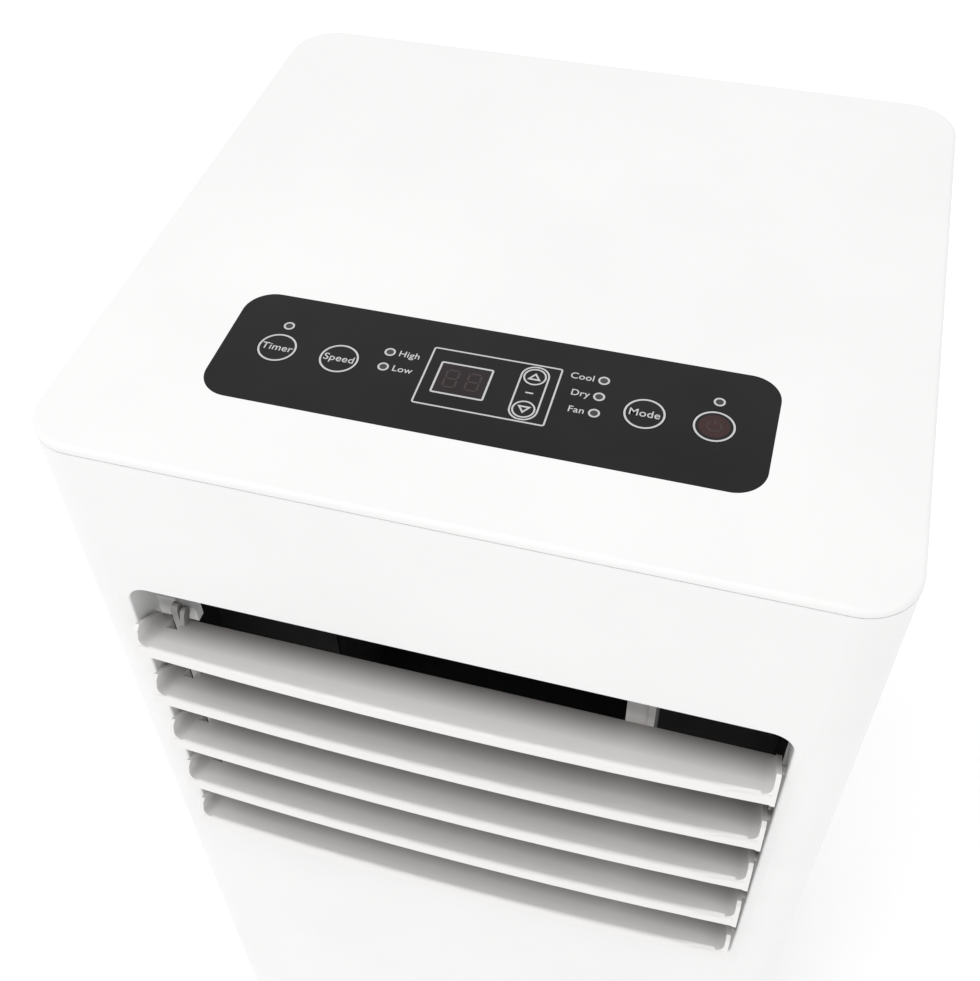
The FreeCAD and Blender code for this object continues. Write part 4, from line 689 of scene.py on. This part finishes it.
def add_bend(shapes, centre, side, bend, tube, steps=14, sides=14):
    """Half a ring of round tube, standing out of an end plate."""
    rings = []
    for i in range(steps + 1):
        turn = math.pi * (i / steps - 0.5)
        out = Vector((side * math.cos(turn), 0, math.sin(turn)))
        ring = []
        for j in range(sides):
            around = 2 * math.pi * j / sides
            offset = out * (bend + tube * math.cos(around)) + Vector((0, tube * math.sin(around), 0))
            ring.append(shapes.verts.new(Vector(centre) + offset))
        rings.append(ring)
    for first, second in zip(rings, rings[1:]):
        for j in range(sides):
            k = (j + 1) % sides
            shapes.faces.new((first[j], first[k], second[k], second[j]))
    shapes.faces.new(rings[0])
    shapes.faces.new(list(reversed(rings[-1])))


# Rating label ------------------------------------------------------------------------------------

LABEL_WORDS = (
    "Portable air conditioner",
    "Rated voltage  220-240 V ~ 50 Hz",
    "Cooling power input  790 W",
    "Rated current  3.6 A",
    "Refrigerant  R290   0.13 kg",
    "Keep upright. Keep the filter clean.",
)


def rating_label():
    """A plain rating label between the collar and the gland, with general wording only."""
    half_x, half_z = 31 * MM, 19 * MM
    line_inset = 1.4 * MM
    line_width = 0.3 * MM
    thick = 0.15 * MM
    margin = 3 * MM
    first_row, row_pitch = 14 * MM, 5.6 * MM
    title_tall, text_tall = 3.0 * MM, 2.2 * MM
    from_gland_x, from_gland_z = 52 * MM, -10 * MM

    plate = bmesh.new()
    add_plate(plate, rounded_points(0, 0, half_x, half_z, corner=2 * MM), 0, thick)
    words = bmesh.new()
    for row, line in enumerate(LABEL_WORDS):
        tall = text_tall if row else title_tall
        y = first_row - row * row_pitch
        add_word(words, line, margin - half_x, y, tall, "LEFT", level=0.17 * MM)
    outer = rounded_points(0, 0, half_x - line_inset, half_z - line_inset, corner=line_inset)
    shrink = 1 - line_width / (half_x - line_inset)
    inner = [(x * shrink, y * shrink) for x, y in outer]
    add_strip(words, outer, inner, 0.1 * MM, 0.2 * MM)

    gland_low, gland_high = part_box("cord_gland")
    x = (gland_low.x + gland_high.x) / 2 + from_gland_x
    z = (gland_low.z + gland_high.z) / 2 + from_gland_z
    place = Matrix.Translation((x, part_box("rear_cover")[1].y, z))
    upright = Matrix.Rotation(math.pi, 4, "Z") @ Matrix.Rotation(math.pi / 2, 4, "X")
    parts = (
        (plate, "rating_label", LABEL_SILVER, "case_white"),
        (words, "rating_words", LABEL_INK, "panel_black"),
    )
    for shapes, name, paint, slot in parts:
        mesh = mesh_from(name, shapes)
        mesh.transform(place @ upright)
        add_piece(name, mesh, "casing", paint)


# Stage, camera and light -------------------------------------------------------------------------


def studio_floor():
    floor = bmesh.new()
    bmesh.ops.create_grid(floor, x_segments=1, y_segments=1, size=40)
    mesh = bpy.data.meshes.new("studio_floor")
    floor.to_mesh(mesh)
    floor.free()
    sheet = bpy.data.objects.new("studio_floor", mesh)
    paper = floor_paper("studio_floor", (0.97, 0.97, 0.97), (0.99, 0.99, 0.99))
    sheet.data.materials.append(paper.material)
    bpy.context.scene.collection.objects.link(sheet)


def add_camera():
    """A camera above and in front of the case, looking down at the panel and the louvres."""
    low, high = CAD_BOX
    middle_x = (low.x + high.x) / 2
    front_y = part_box("front_cover")[0].y
    pitch, roll, yaw = 41.59, 1.44, 16.09
    camera = bpy.data.cameras.new("camera")
    camera.lens = 46.64
    camera.sensor_width = 36
    camera.shift_x = 0.0186
    camera.shift_y = 0.0005
    holder = bpy.data.objects.new("camera", camera)
    holder.location = (middle_x + 0.0998, front_y - 0.2663, high.z + 0.3361)
    holder.rotation_euler = Euler((math.radians(pitch), math.radians(roll), math.radians(yaw)))
    bpy.context.scene.collection.objects.link(holder)
    bpy.context.scene.camera = holder


def soft_light(name, place, aim, size, power):
    """A square soft box, turned to face its aim."""
    lamp = bpy.data.lights.new(name, "AREA")
    lamp.size = size
    lamp.energy = power
    holder = bpy.data.objects.new(name, lamp)
    holder.location = place
    holder.rotation_euler = (Vector(aim) - Vector(place)).to_track_quat("-Z", "Y").to_euler()
    bpy.context.scene.collection.objects.link(holder)


def lighting():
    """An even white surround, a key light high on the left and a weak fill on the right."""
    world = bpy.data.worlds.new("studio")
    world.use_nodes = True
    background = world.node_tree.nodes["Background"]
    background.inputs["Color"].default_value = (1.0, 1.0, 1.0, 1.0)
    background.inputs["Strength"].default_value = 0.86
    bpy.context.scene.world = world
    bpy.context.scene.view_settings.view_transform = "Standard"
    soft_light("key_light", place=(-0.8, -0.9, 3.0), aim=(0, 0, 0.5), size=1.4, power=22)
    soft_light("fill_light", place=(1.9, -1.2, 1.7), aim=(0, 0, 0.4), size=1.6, power=4)


paint_cad_nodes()
word_print("timer_key", "Timer")
word_print("speed_key", "Speed")
word_print("mode_key", "Mode")
arrow_print("up_key", 1)
arrow_print("down_key", -1)
power_print()
panel_print()
unlit_digits()
filter_net()
coil_pieces("evaporator_coil")
coil_pieces("condenser_coil")
rating_label()
studio_floor()
add_camera()
lighting()
